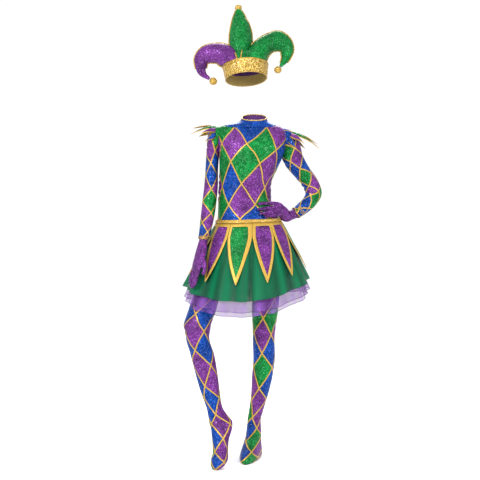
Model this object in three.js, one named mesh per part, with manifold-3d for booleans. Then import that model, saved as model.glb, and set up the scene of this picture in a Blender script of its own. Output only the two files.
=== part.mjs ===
// A jester costume as it is worn: a padded hat with three horns, a harlequin catsuit
// with stand collar, shoulder points and footed legs, gloves, and a belted skirt of
// pointed petals over one green and two purple layers of tulle.
// Millimetres, +Z up, the front faces -Y, and the wearer's right is at -X.
// Heights in the tables are measured from the floor, and x from the plumb line of the
// hat's middle horn. The finished group is moved so that its origin lies between the
// shoulders, where the wearer holds the suit.
import * as THREE from "three";
import Module from "manifold-3d";

const wasm = await Module();
wasm.setup();

// Driving sizes
const WORN_AT = { x: 50, y: 0, z: 1400 };
const CLOTH = 2;
const GLOVE_CLOTH = 1.2;
const TULLE = 1.2;
const SEAM = 0.3;
const SQUARE = 2.3; // the trunk's sections are a little squarer than ellipses
const TRUNK_SIDES = 24;
const WAIST_SEAM_Z = 1008;
const BELT = { low: 1000, high: 1015, tilt: 0.033, thick: 7.5, middle: 37 };
const CROTCH_X = 32;
const ZIP = { x: 56, wide: 6 };
const COLLAR = { top: 1449, foot: 1423, slope: 0.29, binding: 6 };
const HAT = { x: 27, z: 1616, roll: 4, pitch: 12, bandHigh: 57, wall: 3 };

const PURPLE = new THREE.Color(0.19, 0.03, 0.3);
const GREEN = new THREE.Color(0.0, 0.26, 0.05);
const BLUE = new THREE.Color(0.0, 0.05, 0.45);
const GOLD = new THREE.Color(0.75, 0.48, 0.08);
const TULLE_GREEN = new THREE.Color(0.0, 0.22, 0.11);
const TULLE_PURPLE = new THREE.Color(0.34, 0.18, 0.5);

// Rows of numbers under named columns become objects.
function table(columns, rows) {
  const names = columns.split(" ");
  return rows.map((row) =>
    Object.fromEntries(names.map((name, i) => [name, row[i]])),
  );
}

// Level sections of the trunk: half-width, and depth to the front and to the back.
const TRUNK = table("z x y w f b", [
  [1500, 62, 2, 47, 52, 54],
  [1446, 61, 0, 54, 54, 55],
  [1434, 60, 0, 60, 57, 58],
  [1426, 57, 0, 74, 60, 60],
  [1420, 50, 0, 97, 62, 64],
  [1413, 43, 0, 122, 65, 67],
  [1402, 44, 0, 141, 71, 73],
  [1387, 49, -1, 149, 80, 80],
  [1362, 52, -3, 151, 92, 87],
  [1327, 51, -5, 146, 104, 91],
  [1284, 47, -6, 137, 109, 92],
  [1225, 35, -4, 123, 103, 88],
  [1165, 22, 0, 112, 91, 83],
  [1112, 20, 0, 113, 86, 82],
  [1056, 27, 0, 121, 90, 89],
  [1008, 37, 0, 134, 98, 100],
  [960, 38, 0, 140, 101, 107],
  [895, 38, 0, 147, 103, 113],
  [838, 36, 0, 134, 94, 104],
  [818, 34, 0, 104, 74, 82],
]);

// The wearer's right arm hangs, with the hand a little forward.
const ARM_RIGHT = table("z x y w f b", [
  [1410, -97, 0, 12, 16, 16],
  [1400, -98, 0, 28, 33, 33],
  [1379, -103, 0, 34, 40, 40],
  [1348, -108, 0, 33, 42, 42],
  [1300, -116, 0, 28, 38, 38],
  [1233, -121, -4, 27, 35, 35],
  [1160, -124, -13, 29, 34, 34],
  [1096, -130, -30, 30, 33, 33],
  [1032, -137, -55, 29, 31, 31],
  [965, -147, -84, 25, 27, 27],
  [905, -156, -108, 23, 25, 25],
]);

// The left arm is bent, with the hand on the hip: sections across its path.
const ARM_LEFT = table("x y z w d", [
  [166, -1, 1364, 36, 34],
  [188, 0, 1362, 42, 38],
  [206, 3, 1346, 44, 40],
  [217, 8, 1316, 45, 40],
  [227, 14, 1278, 44, 39],
  [246, 22, 1246, 41, 37],
  [276, 34, 1206, 36, 35],
  [309, 46, 1160, 35, 34],
  [320, 49, 1126, 35, 34],
  [306, 42, 1094, 31, 32],
  [273, 28, 1062, 28, 29],
  [247, 17, 1043, 25, 27],
  [216, 4, 1028, 23, 25],
]);

// The right leg is bent outwards and stands on the tips of its toes.
const LEG_RIGHT = table("z x y w f b", [
  [945, -40, 0, 58, 82, 90],
  [830, -90, -16, 62, 74, 78],
  [763, -119, -30, 58, 68, 70],
  [692, -141, -50, 57, 62, 63],
  [614, -165, -74, 59, 57, 58],
  [565, -180, -88, 57, 55, 54],
  [516, -178, -96, 49, 50, 50],
  [450, -159, -101, 50, 46, 53],
  [375, -142, -107, 47, 42, 51],
  [300, -126, -114, 41, 38, 43],
  [228, -106, -124, 34, 33, 35],
  [199, -93, -130, 41, 33, 35],
  [172, -80, -138, 49, 33, 34],
  [145, -77, -149, 44, 33, 33],
  [97, -81, -174, 34, 36, 36],
  [60, -80, -197, 32, 39, 39],
  [38, -84, -211, 35, 41, 41],
  [18, -90, -226, 30, 33, 33],
  [4, -96, -235, 17, 19, 19],
]);

// The left leg carries the weight, its foot flat and turned a little inwards.
const LEG_LEFT = table("z x y w f b turn", [
  [945, 112, 4, 60, 86, 92, 0],
  [828, 116, 8, 61, 76, 82, 0],
  [759, 113, 10, 61, 70, 74, 0],
  [686, 111, 10, 59, 65, 66, 0],
  [604, 107, 10, 55, 58, 60, 0],
  [553, 104, 8, 50, 54, 55, 0],
  [497, 102, 6, 47, 49, 50, 0],
  [420, 104, 9, 47, 45, 53, 0],
  [345, 97, 12, 45, 42, 52, 0],
  [265, 86, 15, 38, 37, 43, 0],
  [189, 70, 18, 31, 33, 35, -4],
  [145, 61, 18, 29, 34, 33, -8],
  [110, 60, 12, 31, 48, 38, -12],
  [80, 58, 0, 33, 78, 51, -13],
  [55, 54, -16, 36, 112, 67, -13],
  [32, 51, -30, 40, 137, 82, -13],
  [12, 50, -32, 42, 144, 82, -13],
  [1, 50, -32, 36, 136, 74, -13],
]);

// Hands: sections across the path of the palm, and the joints of each finger with
// the radius there.
const PALM_RIGHT = table("x y z w d turn", [
  [-149, -86, 966, 18, 18, 10],
  [-152, -98, 936, 18, 18, 20],
  [-157, -110, 908, 21, 19, 35],
  [-163, -124, 878, 29, 18, 50],
  [-170, -135, 850, 36, 16, 60],
  [-177, -141, 826, 38, 15, 62],
  [-183, -143, 808, 34, 12, 64],
]);
const FINGERS_RIGHT = table("finger x y z r", [
  ["first", -168, -171, 822, 8.2],
  ["first", -176, -176, 791, 7.8],
  ["first", -182, -177, 769, 7.4],
  ["first", -187, -174, 747, 7],
  ["second", -175, -152, 818, 8.4],
  ["second", -184, -156, 786, 8],
  ["second", -191, -158, 761, 7.6],
  ["second", -197, -157, 736, 7.2],
  ["third", -183, -133, 816, 8.2],
  ["third", -194, -136, 786, 7.8],
  ["third", -200, -138, 762, 7.4],
  ["third", -205, -137, 738, 7],
  ["fourth", -190, -115, 818, 7.4],
  ["fourth", -201, -116, 793, 7],
  ["fourth", -206, -118, 772, 6.6],
  ["fourth", -210, -118, 753, 6.2],
  ["thumb", -160, -148, 858, 9.8],
  ["thumb", -147, -163, 838, 9.4],
  ["thumb", -146, -172, 814, 9],
  ["thumb", -151, -177, 793, 8.6],
]);
const PALM_LEFT = table("x y z w d turn", [
  [268, 26, 1058, 23, 24, 0],
  [247, 17, 1043, 22, 23.8, 0],
  [222, 7, 1031, 21, 19, 0],
  [201, -12, 1027, 26, 16, 0],
  [178, -41, 1047, 26, 12, 0],
  [159, -64, 1058, 31, 10, 0],
]);
const FINGERS_LEFT = table("finger x y z r", [
  ["first", 163, -56, 1080, 8.2],
  ["first", 133, -74, 1083, 7.8],
  ["first", 106, -87, 1083, 7.4],
  ["first", 80, -97, 1080, 7],
  ["second", 161, -60, 1064, 8.4],
  ["second", 133, -78, 1064, 8],
  ["second", 106, -91, 1061, 7.6],
  ["second", 79, -100, 1057, 7.2],
  ["third", 163, -60, 1048, 8.2],
  ["third", 138, -80, 1047, 7.8],
  ["third", 112, -94, 1044, 7.4],
  ["third", 86, -103, 1040, 7],
  ["fourth", 171, -60, 1036, 7.4],
  ["fourth", 152, -79, 1033, 7],
  ["fourth", 129, -91, 1030, 6.6],
  ["fourth", 108, -101, 1028, 6.2],
  ["thumb", 203, -2, 1044, 9.6],
  ["thumb", 190, 16, 1056, 9.2],
  ["thumb", 172, 38, 1064, 8.8],
  ["thumb", 152, 58, 1066, 8.4],
]);

// Padded horns: half-width in the hat's plane and half-thickness through it.
const HORN_MIDDLE = table("x y z w d", [
  [0, 4, 1660, 52, 60],
  [0, 8, 1700, 51, 58],
  [1, 14, 1742, 49, 52],
  [3, 20, 1777, 49, 47],
  [3, 27, 1809, 48, 42],
  [1, 34, 1842, 42, 36],
  [-3, 42, 1876, 31, 27],
  [-5, 48, 1903, 20, 18],
  [-7, 52, 1921, 11, 10],
]);
const HORN_RIGHT = table("x y z w d", [
  [-4, -2, 1660, 36, 88],
  [-32, -1, 1690, 42, 84],
  [-60, 2, 1713, 48, 66],
  [-95, 4, 1727, 43, 50],
  [-127, 6, 1726, 40, 42],
  [-154, 6, 1713, 36, 35],
  [-168, 6, 1690, 29, 28],
  [-168, 6, 1662, 23, 21],
  [-157, 6, 1637, 15, 14],
  [-132, 6, 1616, 6, 6],
]);
const HORN_LEFT = table("x y z w d", [
  [52, -2, 1655, 44, 90],
  [62, -1, 1693, 50, 88],
  [78, 2, 1726, 46, 70],
  [99, 4, 1751, 42, 54],
  [127, 6, 1771, 40, 44],
  [161, 6, 1779, 43, 40],
  [190, 6, 1763, 37, 34],
  [202, 6, 1737, 28, 27],
  [198, 6, 1711, 20, 19],
  [188, 6, 1690, 13, 12],
  [175, 6, 1669, 6, 6],
]);
const BOBBLES = table("name x y z r", [
  ["middle", -7, 54, 1931, 15],
  ["right", -115, 6, 1607, 17],
  ["left", 163, 6, 1656, 16],
]);
const BAND = table("z w f b", [
  [0, 89, 102, 102],
  [HAT.bandHigh, 98, 112, 112],
]);
const CROWN = table("z w f b", [
  [HAT.bandHigh + SEAM, 93, 107, 107],
  [76, 89, 103, 103],
  [92, 79, 92, 92],
  [104, 62, 73, 73],
  [111, 42, 49, 49],
  [115, 18, 21, 21],
]);

// Shoulder points: the place of each leaf round the armhole, in degrees from its top
// towards the back, how far its tip reaches out, rises and sways back, and its width.
const LEAVES_RIGHT = {
  centre: [-104, 0, 1362],
  out: [-1, 0, 0],
  up: 44,
  deep: 44,
  leaves: table("at reach rise sway wide", [
    [-74, 44, -30, -16, 30],
    [-44, 63, -16, -14, 32],
    [-14, 105, -27, -8, 36],
    [16, 98, 0, 6, 36],
    [50, 76, -20, 24, 34],
  ]),
};
const LEAVES_LEFT = {
  centre: [202, 2, 1342],
  out: [0.91, 0, -0.41],
  up: 46,
  deep: 44,
  leaves: table("at reach rise sway wide", [
    [-74, 46, -24, -14, 30],
    [-44, 68, -10, -12, 32],
    [-14, 136, -12, -8, 36],
    [16, 124, 4, 6, 36],
    [50, 84, -18, 24, 34],
  ]),
};

// Skirt layers hang from under the belt, one inside the other. The hem lies low in
// front, and higher at the sides and on the wearer's left.
const SKIRT = {
  topX: 37,
  hemX: 28,
  hem: 722,
  hemFront: 18,
  hemSides: 20,
  hemLeft: 16.5,
  waves: 12,
  wave: 9,
  waveGrowth: 1.3,
  uneven: 0.1,
  swells: 5,
  swell: 1.5,
  flare: 0.94,
  steps: 60,
  levels: [0, 0.42, 1],
};
const LAYERS = table("name off wide deep longer colour", [
  ["tulle_purple_lower", 0.4, 257, 224, 64, TULLE_PURPLE],
  ["tulle_purple_upper", 2, 260, 228, 46, TULLE_PURPLE],
  ["tulle_green", 3.6, 262, 231, 0, TULLE_GREEN],
]);
const PETALS = {
  count: 11,
  first: -45,
  valley: 0.3,
  length: 0.79,
  thick: 1.5,
  gap: 0.6,
  tip: 0.05,
  layer: { off: 5.6, wide: 262, deep: 231, longer: 0 },
  lift: 2.5,
  liftedFrom: 0.5,
  levels: [0, 0.15, 0.3, 0.53, 0.77, 1],
  across: [-1, -0.36, 0.36, 1],
};
// Each sleeve ends in a pointed cuff: where the point lies, the ways to the shoulder
// and across, and how fast the edge rises from the point.
const CUFF_RIGHT = {
  point: [-153, -96, 926],
  towardsShoulder: [0, 0.3, 1],
  across: [1, 0, 0],
  rise: 0.55,
};
const CUFF_LEFT = {
  point: [233, 10, 1034],
  towardsShoulder: [0.82, 0.35, 0.5],
  across: [-0.5, 0, 0.82],
  rise: 0.5,
};
const CUFF_REACH = 90;
// The left sleeve's front and back meet in a slanted plane.
const LEFT_SLEEVE_SEAM = { through: [176, 0, 0], slant: [-0.33, 1, 0] };
// The right sleeve and the legs are slit into front and back between these x.
const SLITS = { sleeve: [-230, -20], legRight: [-280, 60], legLeft: [-10, 260], leastY: 4 };
// The gloves are open at the wrist: a point of the opening and the way to the fingers.
const WRIST_RIGHT = { point: [-150, -90, 950], toFingers: [0, 0.3, -1] };
const WRIST_LEFT = { point: [256, 18, 1050], toFingers: [-0.9, -0.35, -0.3] };
// A ball's rings, as shares of its radius from the bottom to the top.
const BALL_RINGS = [-1, -0.8, -0.35, 0.35, 0.8, 1];
const BALL_POLE = 0.02;
// The space that the hat's band and the head under it take from the horns.
const UNDER_HORNS = { low: -30, sides: 14, ends: 6 };
const CROWN_UNDER_BAND = 12;
const LEAF = { thick: 1.8, steps: 4, widest: 0.25, root: 0.8, tip: 0.04, arch: 7, camber: 0.12 };
const CLEAR = 0.4;

const radians = (degrees) => (degrees * Math.PI) / 180;
const mix = (a, b, t) => a + (b - a) * t;

// Closed solid from vertices and triangles that face outwards.
function solid(points, faces) {
  return new wasm.Manifold(
    new wasm.Mesh({
      numProp: 3,
      vertProperties: new Float32Array(points.flat()),
      triVerts: new Uint32Array(faces.flat()),
    }),
  );
}

// A point of a rounded section at an angle.
function around(angle, wide, front, back, square = 2) {
  const c = Math.cos(angle);
  const s = Math.sin(angle);
  const deep = s < 0 ? front : back;
  return [
    wide * Math.sign(c) * Math.abs(c) ** (2 / square),
    deep * Math.sign(s) * Math.abs(s) ** (2 / square),
  ];
}

// Two triangles between four corners, split from the first corner to the third. With
// the other split, the two faces of a twisted wall stay the same distance apart.
function quad(faces, [a, b, c, d], otherSplit) {
  if (otherSplit) faces.push([a, b, d], [b, c, d]);
  else faces.push([a, b, c], [a, c, d]);
}

// Skin through rings of points, with a closed end at the first and last ring. The rings
// of a wall run along its outside and back along its inside.
function loft(rings, startPoint, endPoint, isWall = false) {
  const sides = rings[0].length;
  const points = rings.flat();
  const faces = [];
  const at = (ring, side) => ring * sides + (side % sides);
  for (let i = 0; i < rings.length - 1; i += 1) {
    for (let k = 0; k < sides; k += 1) {
      const corners = [at(i, k), at(i, k + 1), at(i + 1, k + 1), at(i + 1, k)];
      quad(faces, corners, isWall && k >= sides / 2);
    }
  }
  const start = points.push(startPoint) - 1;
  const end = points.push(endPoint) - 1;
  const last = rings.length - 1;
  for (let k = 0; k < sides; k += 1) {
    faces.push([start, at(0, k + 1), at(0, k)]);
    faces.push([end, at(last, k), at(last, k + 1)]);
  }
  return solid(points, faces);
}

// A closed ring of cloth through the loops of points that its wall shows when cut.
function clothRing(loops) {
  const sides = loops[0].length;
  const faces = [];
  const at = (loop, side) => (loop % loops.length) * sides + (side % sides);
  for (let i = 0; i < loops.length; i += 1) {
    for (let k = 0; k < sides; k += 1) {
      const corners = [at(i, k), at(i, k + 1), at(i + 1, k + 1), at(i + 1, k)];
      quad(faces, corners, k >= sides / 2);
    }
  }
  return solid(loops.flat(), faces);
}

// Angles all round a section, counted from the front towards the wearer's left.
const allRound = (sides) => Array.from({ length: sides }, (_, k) => (360 * k) / sides);

// A tube through level sections, from the top down. A positive grow makes it fatter.
function levelTube(rows, { sides, grow = 0, square = 2 }) {
  const rings = rows.map((row, i) => {
    const turn = radians(row.turn ?? 0);
    const atTop = i === 0 ? grow : 0;
    const atFoot = i === rows.length - 1 ? -grow : 0;
    return Array.from({ length: sides }, (_, k) => {
      const angle = (-2 * Math.PI * k) / sides;
      const [u, v] = around(angle, row.w + grow, row.f + grow, row.b + grow, square);
      return [
        row.x + u * Math.cos(turn) - v * Math.sin(turn),
        row.y + u * Math.sin(turn) + v * Math.cos(turn),
        row.z + atTop + atFoot,
      ];
    });
  });
  const first = rows[0];
  const last = rows[rows.length - 1];
  const top = [first.x, first.y, first.z + grow + 1];
  const foot = [last.x, last.y, last.z - grow - 0.5];
  return loft(rings, top, foot);
}

// A tube whose sections stand across its path. Its path never runs along Y.
function pathTube(rows, { sides, grow = 0, round = 0 }) {
  const place = rows.map((row) => new THREE.Vector3(row.x, row.y, row.z));
  const along = place.map((point, i) => {
    const next = place[Math.min(i + 1, place.length - 1)];
    const before = place[Math.max(i - 1, 0)];
    return next.clone().sub(before).normalize();
  });
  const depth = new THREE.Vector3(0, 1, 0);
  const rings = rows.map((row, i) => {
    const e2 = depth.clone().addScaledVector(along[i], -depth.dot(along[i])).normalize();
    const e1 = e2.clone().cross(along[i]);
    const turn = radians(row.turn ?? 0);
    const wideAxis = e1.clone().multiplyScalar(Math.cos(turn));
    wideAxis.addScaledVector(e2, Math.sin(turn));
    const deepAxis = along[i].clone().cross(wideAxis);
    return Array.from({ length: sides }, (_, k) => {
      const angle = (2 * Math.PI * k) / sides;
      return place[i]
        .clone()
        .addScaledVector(wideAxis, (row.w + grow) * Math.cos(angle))
        .addScaledVector(deepAxis, (row.d + grow) * Math.sin(angle))
        .toArray();
    });
  });
  const last = rows.length - 1;
  const start = place[0].clone().addScaledVector(along[0], -round - grow);
  const end = place[last].clone().addScaledVector(along[last], round + grow);
  return loft(rings, start.toArray(), end.toArray());
}

// Keeps what lies on the side of a plane that its normal points to.
function keep(body, normal, point, gap = 0) {
  const n = new THREE.Vector3(...normal).normalize();
  return body.trimByPlane(n.toArray(), n.dot(new THREE.Vector3(...point)) + gap);
}

// A thin upright curtain through the rows' y, to slit a tube along both of its sides.
function curtain(rows, fromX, toX) {
  const half = SEAM / 2;
  const rings = rows.map((row) => [
    [fromX, row.y - half, row.z],
    [fromX, row.y + half, row.z],
    [toX, row.y + half, row.z],
    [toX, row.y - half, row.z],
  ]);
  const middle = (row) => [(fromX + toX) / 2, row.y, row.z];
  return loft(rings, middle(rows[0]), middle(rows[rows.length - 1]));
}

// The largest of the bodies that a cut leaves, sorted from the front to the back.
function frontAndBack(body) {
  const parts = body.decompose().sort((a, b) => b.volume() - a.volume());
  const middle = (part) => {
    const box = part.boundingBox();
    return box.min[1] + box.max[1];
  };
  return parts.slice(0, 2).sort((a, b) => middle(a) - middle(b));
}

function largest(body) {
  return body.decompose().sort((a, b) => b.volume() - a.volume())[0];
}

// Tubes that several pieces share
const trunk = (grow) => levelTube(TRUNK, { sides: TRUNK_SIDES, grow, square: SQUARE });
const armRight = (grow) => levelTube(ARM_RIGHT, { sides: 12, grow });
const armLeft = (grow) => pathTube(ARM_LEFT, { sides: 12, grow, round: 4 });
const legRight = (grow) => levelTube(LEG_RIGHT, { sides: 12, grow });
const legLeft = (grow) => levelTube(LEG_LEFT, { sides: 12, grow });

// A point on the trunk's skin at an angle from the front and a height.
function trunkPoint(angle, z, grow) {
  const below = TRUNK.findIndex((row) => row.z <= z);
  const [high, low] = [TRUNK[below - 1], TRUNK[below]];
  const t = (high.z - z) / (high.z - low.z);
  const size = (name) => mix(high[name], low[name], t);
  const turn = radians(angle - 90);
  const [u, v] = around(turn, size("w") + grow, size("f") + grow, size("b") + grow, SQUARE);
  return [size("x") + u, size("y") + v, z];
}

// The wall's loop at one angle: down the outside through the heights, and up the inside.
function trunkLoop(angle, heights, outside, inside) {
  const point = (height, grow) => {
    const level = trunkPoint(angle, height(0, 0), grow);
    return trunkPoint(angle, height(level[0], level[1]), grow);
  };
  const down = [...heights].reverse();
  return [
    ...down.map((height) => point(height, outside)),
    ...heights.map((height) => point(height, inside)),
  ];
}

// The trunk with both arm hollows taken out of its wall.
function upperShell() {
  const shell = trunk(0).subtract(trunk(-CLOTH));
  const open = shell.subtract(armRight(-CLOTH)).subtract(armLeft(-CLOTH));
  return keep(open, [0, 0, 1], [0, 0, WAIST_SEAM_Z], SEAM / 2);
}

function collarPieces() {
  const at = (base) => (x, y) => base + COLLAR.slope * y;
  const rim = COLLAR.top - COLLAR.binding;
  const foot = COLLAR.foot + SEAM;
  const heights = [0, 0.3, 0.6, 1].map((t) => at(mix(foot, rim - SEAM, t)));
  const rows = allRound(TRUNK_SIDES);
  const edge = 0.8;
  return {
    collar: clothRing(rows.map((angle) => trunkLoop(angle, heights, 0, -CLOTH))),
    collar_binding: clothRing(
      rows.map((angle) =>
        trunkLoop(angle, [at(rim), at(COLLAR.top)], edge, -CLOTH - edge),
      ),
    ),
  };
}

function bodicePieces(shell) {
  const below = keep(shell, [0, COLLAR.slope, -1], [0, 0, COLLAR.foot], SEAM / 2);
  const front = keep(below, [0, -1, 0], [0, 0, 0], SEAM / 2);
  const back = keep(below, [0, 1, 0], [0, 0, 0], SEAM / 2);
  const side = (sign, reach) =>
    keep(back, [sign, 0, 0], [ZIP.x + (sign * reach) / 2, 0, 0], SEAM / 2);
  const strip = (sign) => [
    [sign, 0, 0],
    [ZIP.x - (sign * ZIP.wide) / 2, 0, 0],
  ];
  const zip = keep(keep(back, ...strip(1), SEAM / 2), ...strip(-1), SEAM / 2);
  return {
    bodice_front: largest(front),
    bodice_back_right: largest(side(-1, ZIP.wide)),
    bodice_back_left: largest(side(1, ZIP.wide)),
    back_zip: largest(zip),
  };
}

// Trims a sleeve to a pointed cuff: the point lies at a place, and the edge rises
// from it to both sides. Only what lies near the wrist is cut.
function pointedCuff(sleeve, { point, towardsShoulder, across, rise }) {
  const corners = [[-1, -1], [1, -1], [1, 1], [-1, 1]];
  const [x, y, z] = point;
  const wrist = loft(
    [z + CUFF_REACH, z - CUFF_REACH].map((level) =>
      corners.map(([u, v]) => [x - u * CUFF_REACH, y + v * CUFF_REACH, level]),
    ),
    [x, y, z + CUFF_REACH],
    [x, y, z - CUFF_REACH],
  );
  const plane = (sign) => towardsShoulder.map((value, i) => value + sign * rise * across[i]);
  const kept = keep(keep(wrist, plane(1), point), plane(-1), point);
  return sleeve.subtract(wrist.subtract(kept));
}

function sleevePieces() {
  const body = trunk(SEAM);
  const right = pointedCuff(
    armRight(0).subtract(armRight(-CLOTH)).subtract(body),
    CUFF_RIGHT,
  );
  const left = pointedCuff(armLeft(0).subtract(armLeft(-CLOTH)).subtract(body), CUFF_LEFT);
  const slitRows = ARM_RIGHT.map((row) => ({ ...row }));
  slitRows[0].z += 20;
  const [rightFront, rightBack] = frontAndBack(
    largest(right).subtract(curtain(slitRows, ...SLITS.sleeve)),
  );
  const { slant, through } = LEFT_SLEEVE_SEAM;
  const leftWhole = largest(left);
  return {
    sleeve_right_front: rightFront,
    sleeve_right_back: rightBack,
    sleeve_left_front: largest(
      keep(
        leftWhole,
        slant.map((value) => -value),
        through,
        SEAM / 2,
      ),
    ),
    sleeve_left_back: largest(keep(leftWhole, slant, through, SEAM / 2)),
  };
}

function legPieces() {
  const outer = trunk(0).add(legRight(0)).add(legLeft(0));
  const inner = trunk(-CLOTH).add(legRight(-CLOTH)).add(legLeft(-CLOTH));
  const shell = keep(outer.subtract(inner), [0, 0, -1], [0, 0, WAIST_SEAM_Z], SEAM / 2);
  const crotch = { front: -200, back: 200, low: 790, high: 1020 };
  const slab = loft(
    [crotch.high, crotch.low].map((z) => [
      [CROTCH_X - SEAM / 2, crotch.front, z],
      [CROTCH_X - SEAM / 2, crotch.back, z],
      [CROTCH_X + SEAM / 2, crotch.back, z],
      [CROTCH_X + SEAM / 2, crotch.front, z],
    ]),
    [CROTCH_X, 0, crotch.high],
    [CROTCH_X, 0, crotch.low],
  );
  const halves = shell.subtract(slab).decompose();
  const reach = (body) => body.boundingBox().max[0];
  const [right, left] = halves.sort((a, b) => reach(a) - reach(b));
  const waist = { y: 0, z: WAIST_SEAM_Z + 10 };
  const slit = (body, rows, fromX, toX) => {
    const low = rows[rows.length - 1];
    const path = [waist, ...rows, { y: low.y, z: low.z - 20 }];
    return frontAndBack(body.subtract(curtain(path, fromX, toX)));
  };
  const [rightFront, rightBack] = slit(right, LEG_RIGHT, ...SLITS.legRight);
  const standing = LEG_LEFT.map((row) => ({ y: Math.max(row.y, SLITS.leastY), z: row.z }));
  const [leftFront, leftBack] = slit(left, standing, ...SLITS.legLeft);
  return {
    leg_right_front: rightFront,
    leg_right_back: rightBack,
    leg_left_front: leftFront,
    leg_left_back: leftBack,
  };
}

// A glove: palm, four fingers and a thumb, hollow and open at the wrist.
function glove(palmRows, fingerRows, { point, toFingers }) {
  const round = ({ finger, x, y, z, r }) => ({ finger, x, y, z, w: r, d: r });
  const fingers = Object.values(Object.groupBy(fingerRows.map(round), (row) => row.finger));
  const hand = (grow) => {
    let body = pathTube(palmRows, { sides: 10, grow, round: 4 });
    for (const joints of fingers) {
      body = body.add(pathTube(joints, { sides: 6, grow, round: 5 }));
    }
    return body;
  };
  return largest(keep(hand(0).subtract(hand(-GLOVE_CLOTH)), toFingers, point));
}

// The hat's band and crown are made level, then tipped back and to the side.
const hatFrame = new THREE.Matrix4()
  .makeTranslation(HAT.x, 0, HAT.z)
  .multiply(new THREE.Matrix4().makeRotationY(radians(-HAT.roll)))
  .multiply(new THREE.Matrix4().makeRotationX(radians(-HAT.pitch)));
const hatUp = new THREE.Vector3(0, 0, 1).transformDirection(hatFrame).toArray();
const hatPoint = (z) => new THREE.Vector3(0, 0, z).applyMatrix4(hatFrame).toArray();
const tipped = (body) => body.transform(hatFrame.elements);

function hatPieces() {
  const level = (rows, grow, sides) =>
    levelTube(
      rows.map((row) => ({ ...row, x: 0, y: 0 })).reverse(),
      { sides, grow },
    );
  const bandPoint = (angle, row, grow) => {
    const [u, v] = around(radians(angle - 90), row.w + grow, row.f + grow, row.b + grow);
    return [u, v, row.z];
  };
  const band = tipped(
    clothRing(
      allRound(36).map((angle) => [
        ...[...BAND].reverse().map((row) => bandPoint(angle, row, 0)),
        ...BAND.map((row) => bandPoint(angle, row, -HAT.wall)),
      ]),
    ),
  );
  const dome = (grow) => {
    const rows = CROWN.map((row) => ({ ...row }));
    rows[0].z -= CROWN_UNDER_BAND;
    return tipped(level(rows, grow, 14));
  };
  const top = hatPoint(HAT.bandHigh);
  const crown = keep(dome(0).subtract(dome(-CLOTH)), hatUp, top, SEAM);
  const horn = (rows, grow) => pathTube(rows, { sides: 12, grow, round: 3 });
  const brim = BAND[1];
  const { low, sides, ends } = UNDER_HORNS;
  const overBand = { w: brim.w + sides, f: brim.f + ends, b: brim.b + ends };
  const under = tipped(
    level(
      [
        { z: low, ...overBand },
        { z: HAT.bandHigh + SEAM, ...overBand },
      ],
      0,
      24,
    ),
  );
  const seated = (body) => largest(body.subtract(dome(SEAM)).subtract(under));
  const rightHorn = seated(horn(HORN_RIGHT, 0));
  const leftHorn = seated(horn(HORN_LEFT, 0).subtract(horn(HORN_RIGHT, SEAM)));
  const middleHorn = seated(
    horn(HORN_MIDDLE, 0).subtract(horn(HORN_RIGHT, SEAM)).subtract(horn(HORN_LEFT, SEAM)),
  );
  const pieces = {
    hat_band: [band, GOLD],
    hat_crown: [largest(crown), GREEN],
    hat_horn_right: [rightHorn, PURPLE],
    hat_horn_left: [leftHorn, GREEN],
    hat_horn_middle: [middleHorn, GREEN],
  };
  const tables = { middle: HORN_MIDDLE, right: HORN_RIGHT, left: HORN_LEFT };
  for (const { name, x, y, z, r } of BOBBLES) {
    const ball = level(
      BALL_RINGS.map((t) => {
        const ringRadius = r * Math.sqrt(Math.max(BALL_POLE, 1 - t * t));
        return { z: r * t, w: ringRadius, f: ringRadius, b: ringRadius };
      }),
      0,
      10,
    ).translate([x, y, z]);
    pieces[`hat_bobble_${name}`] = [largest(ball.subtract(horn(tables[name], SEAM))), GOLD];
  }
  return pieces;
}

// A wall through its rings, turned about if its faces would point inwards.
function outward(rings, centre) {
  const last = rings.length - 1;
  const made = loft(rings, centre(rings[0]), centre(rings[last]), true);
  if (made.volume() > 0) return made;
  return loft([...rings].reverse(), centre(rings[last]), centre(rings[0]), true);
}

// One pointed leaf of a shoulder: a thin cambered plate from its root to its tip.
function leaf(root, tip, side, normal, wide) {
  const rings = Array.from({ length: LEAF.steps + 1 }, (_, i) => {
    const t = i / LEAF.steps;
    const past = (t - LEAF.widest) / (1 - LEAF.widest);
    const shape = past < 0 ? mix(LEAF.root, 1, t / LEAF.widest) : mix(1, LEAF.tip, past);
    const half = 0.5 * wide * shape;
    const lift = LEAF.arch * Math.sin(Math.PI * t);
    const spot = (v, up) =>
      new THREE.Vector3(...root)
        .lerp(new THREE.Vector3(...tip), t)
        .addScaledVector(side, half * v)
        .addScaledVector(normal, lift + LEAF.camber * half * (1 - v * v) + up)
        .toArray();
    const across = [-1, 0, 1];
    const upper = across.map((v) => spot(v, LEAF.thick));
    const lower = across.map((v) => spot(v, 0)).reverse();
    return [...upper, ...lower];
  });
  return outward(rings, (ring) => ring[0].map((_, i) => (ring[1][i] + ring[4][i]) / 2));
}

function shoulderPoints({ centre, out, up, deep, leaves }) {
  const outwards = new THREE.Vector3(...out).normalize();
  const back = new THREE.Vector3(0, 1, 0);
  const upwards = back.clone().cross(outwards);
  if (upwards.z < 0) upwards.negate();
  let body = null;
  for (const { at, reach, rise, sway, wide } of leaves) {
    const turn = radians(at);
    const normal = upwards.clone().multiplyScalar(Math.cos(turn));
    normal.addScaledVector(back, Math.sin(turn));
    const side = outwards.clone().cross(normal);
    const root = new THREE.Vector3(...centre)
      .addScaledVector(upwards, up * Math.cos(turn))
      .addScaledVector(back, deep * Math.sin(turn));
    const tip = root
      .clone()
      .addScaledVector(outwards, reach)
      .addScaledVector(upwards, rise)
      .addScaledVector(back, sway);
    const made = leaf(root.toArray(), tip.toArray(), side, normal, wide);
    body = body ? body.add(made) : made;
  }
  return largest(
    body.subtract(trunk(CLEAR)).subtract(armRight(CLEAR)).subtract(armLeft(CLEAR)),
  );
}

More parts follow.
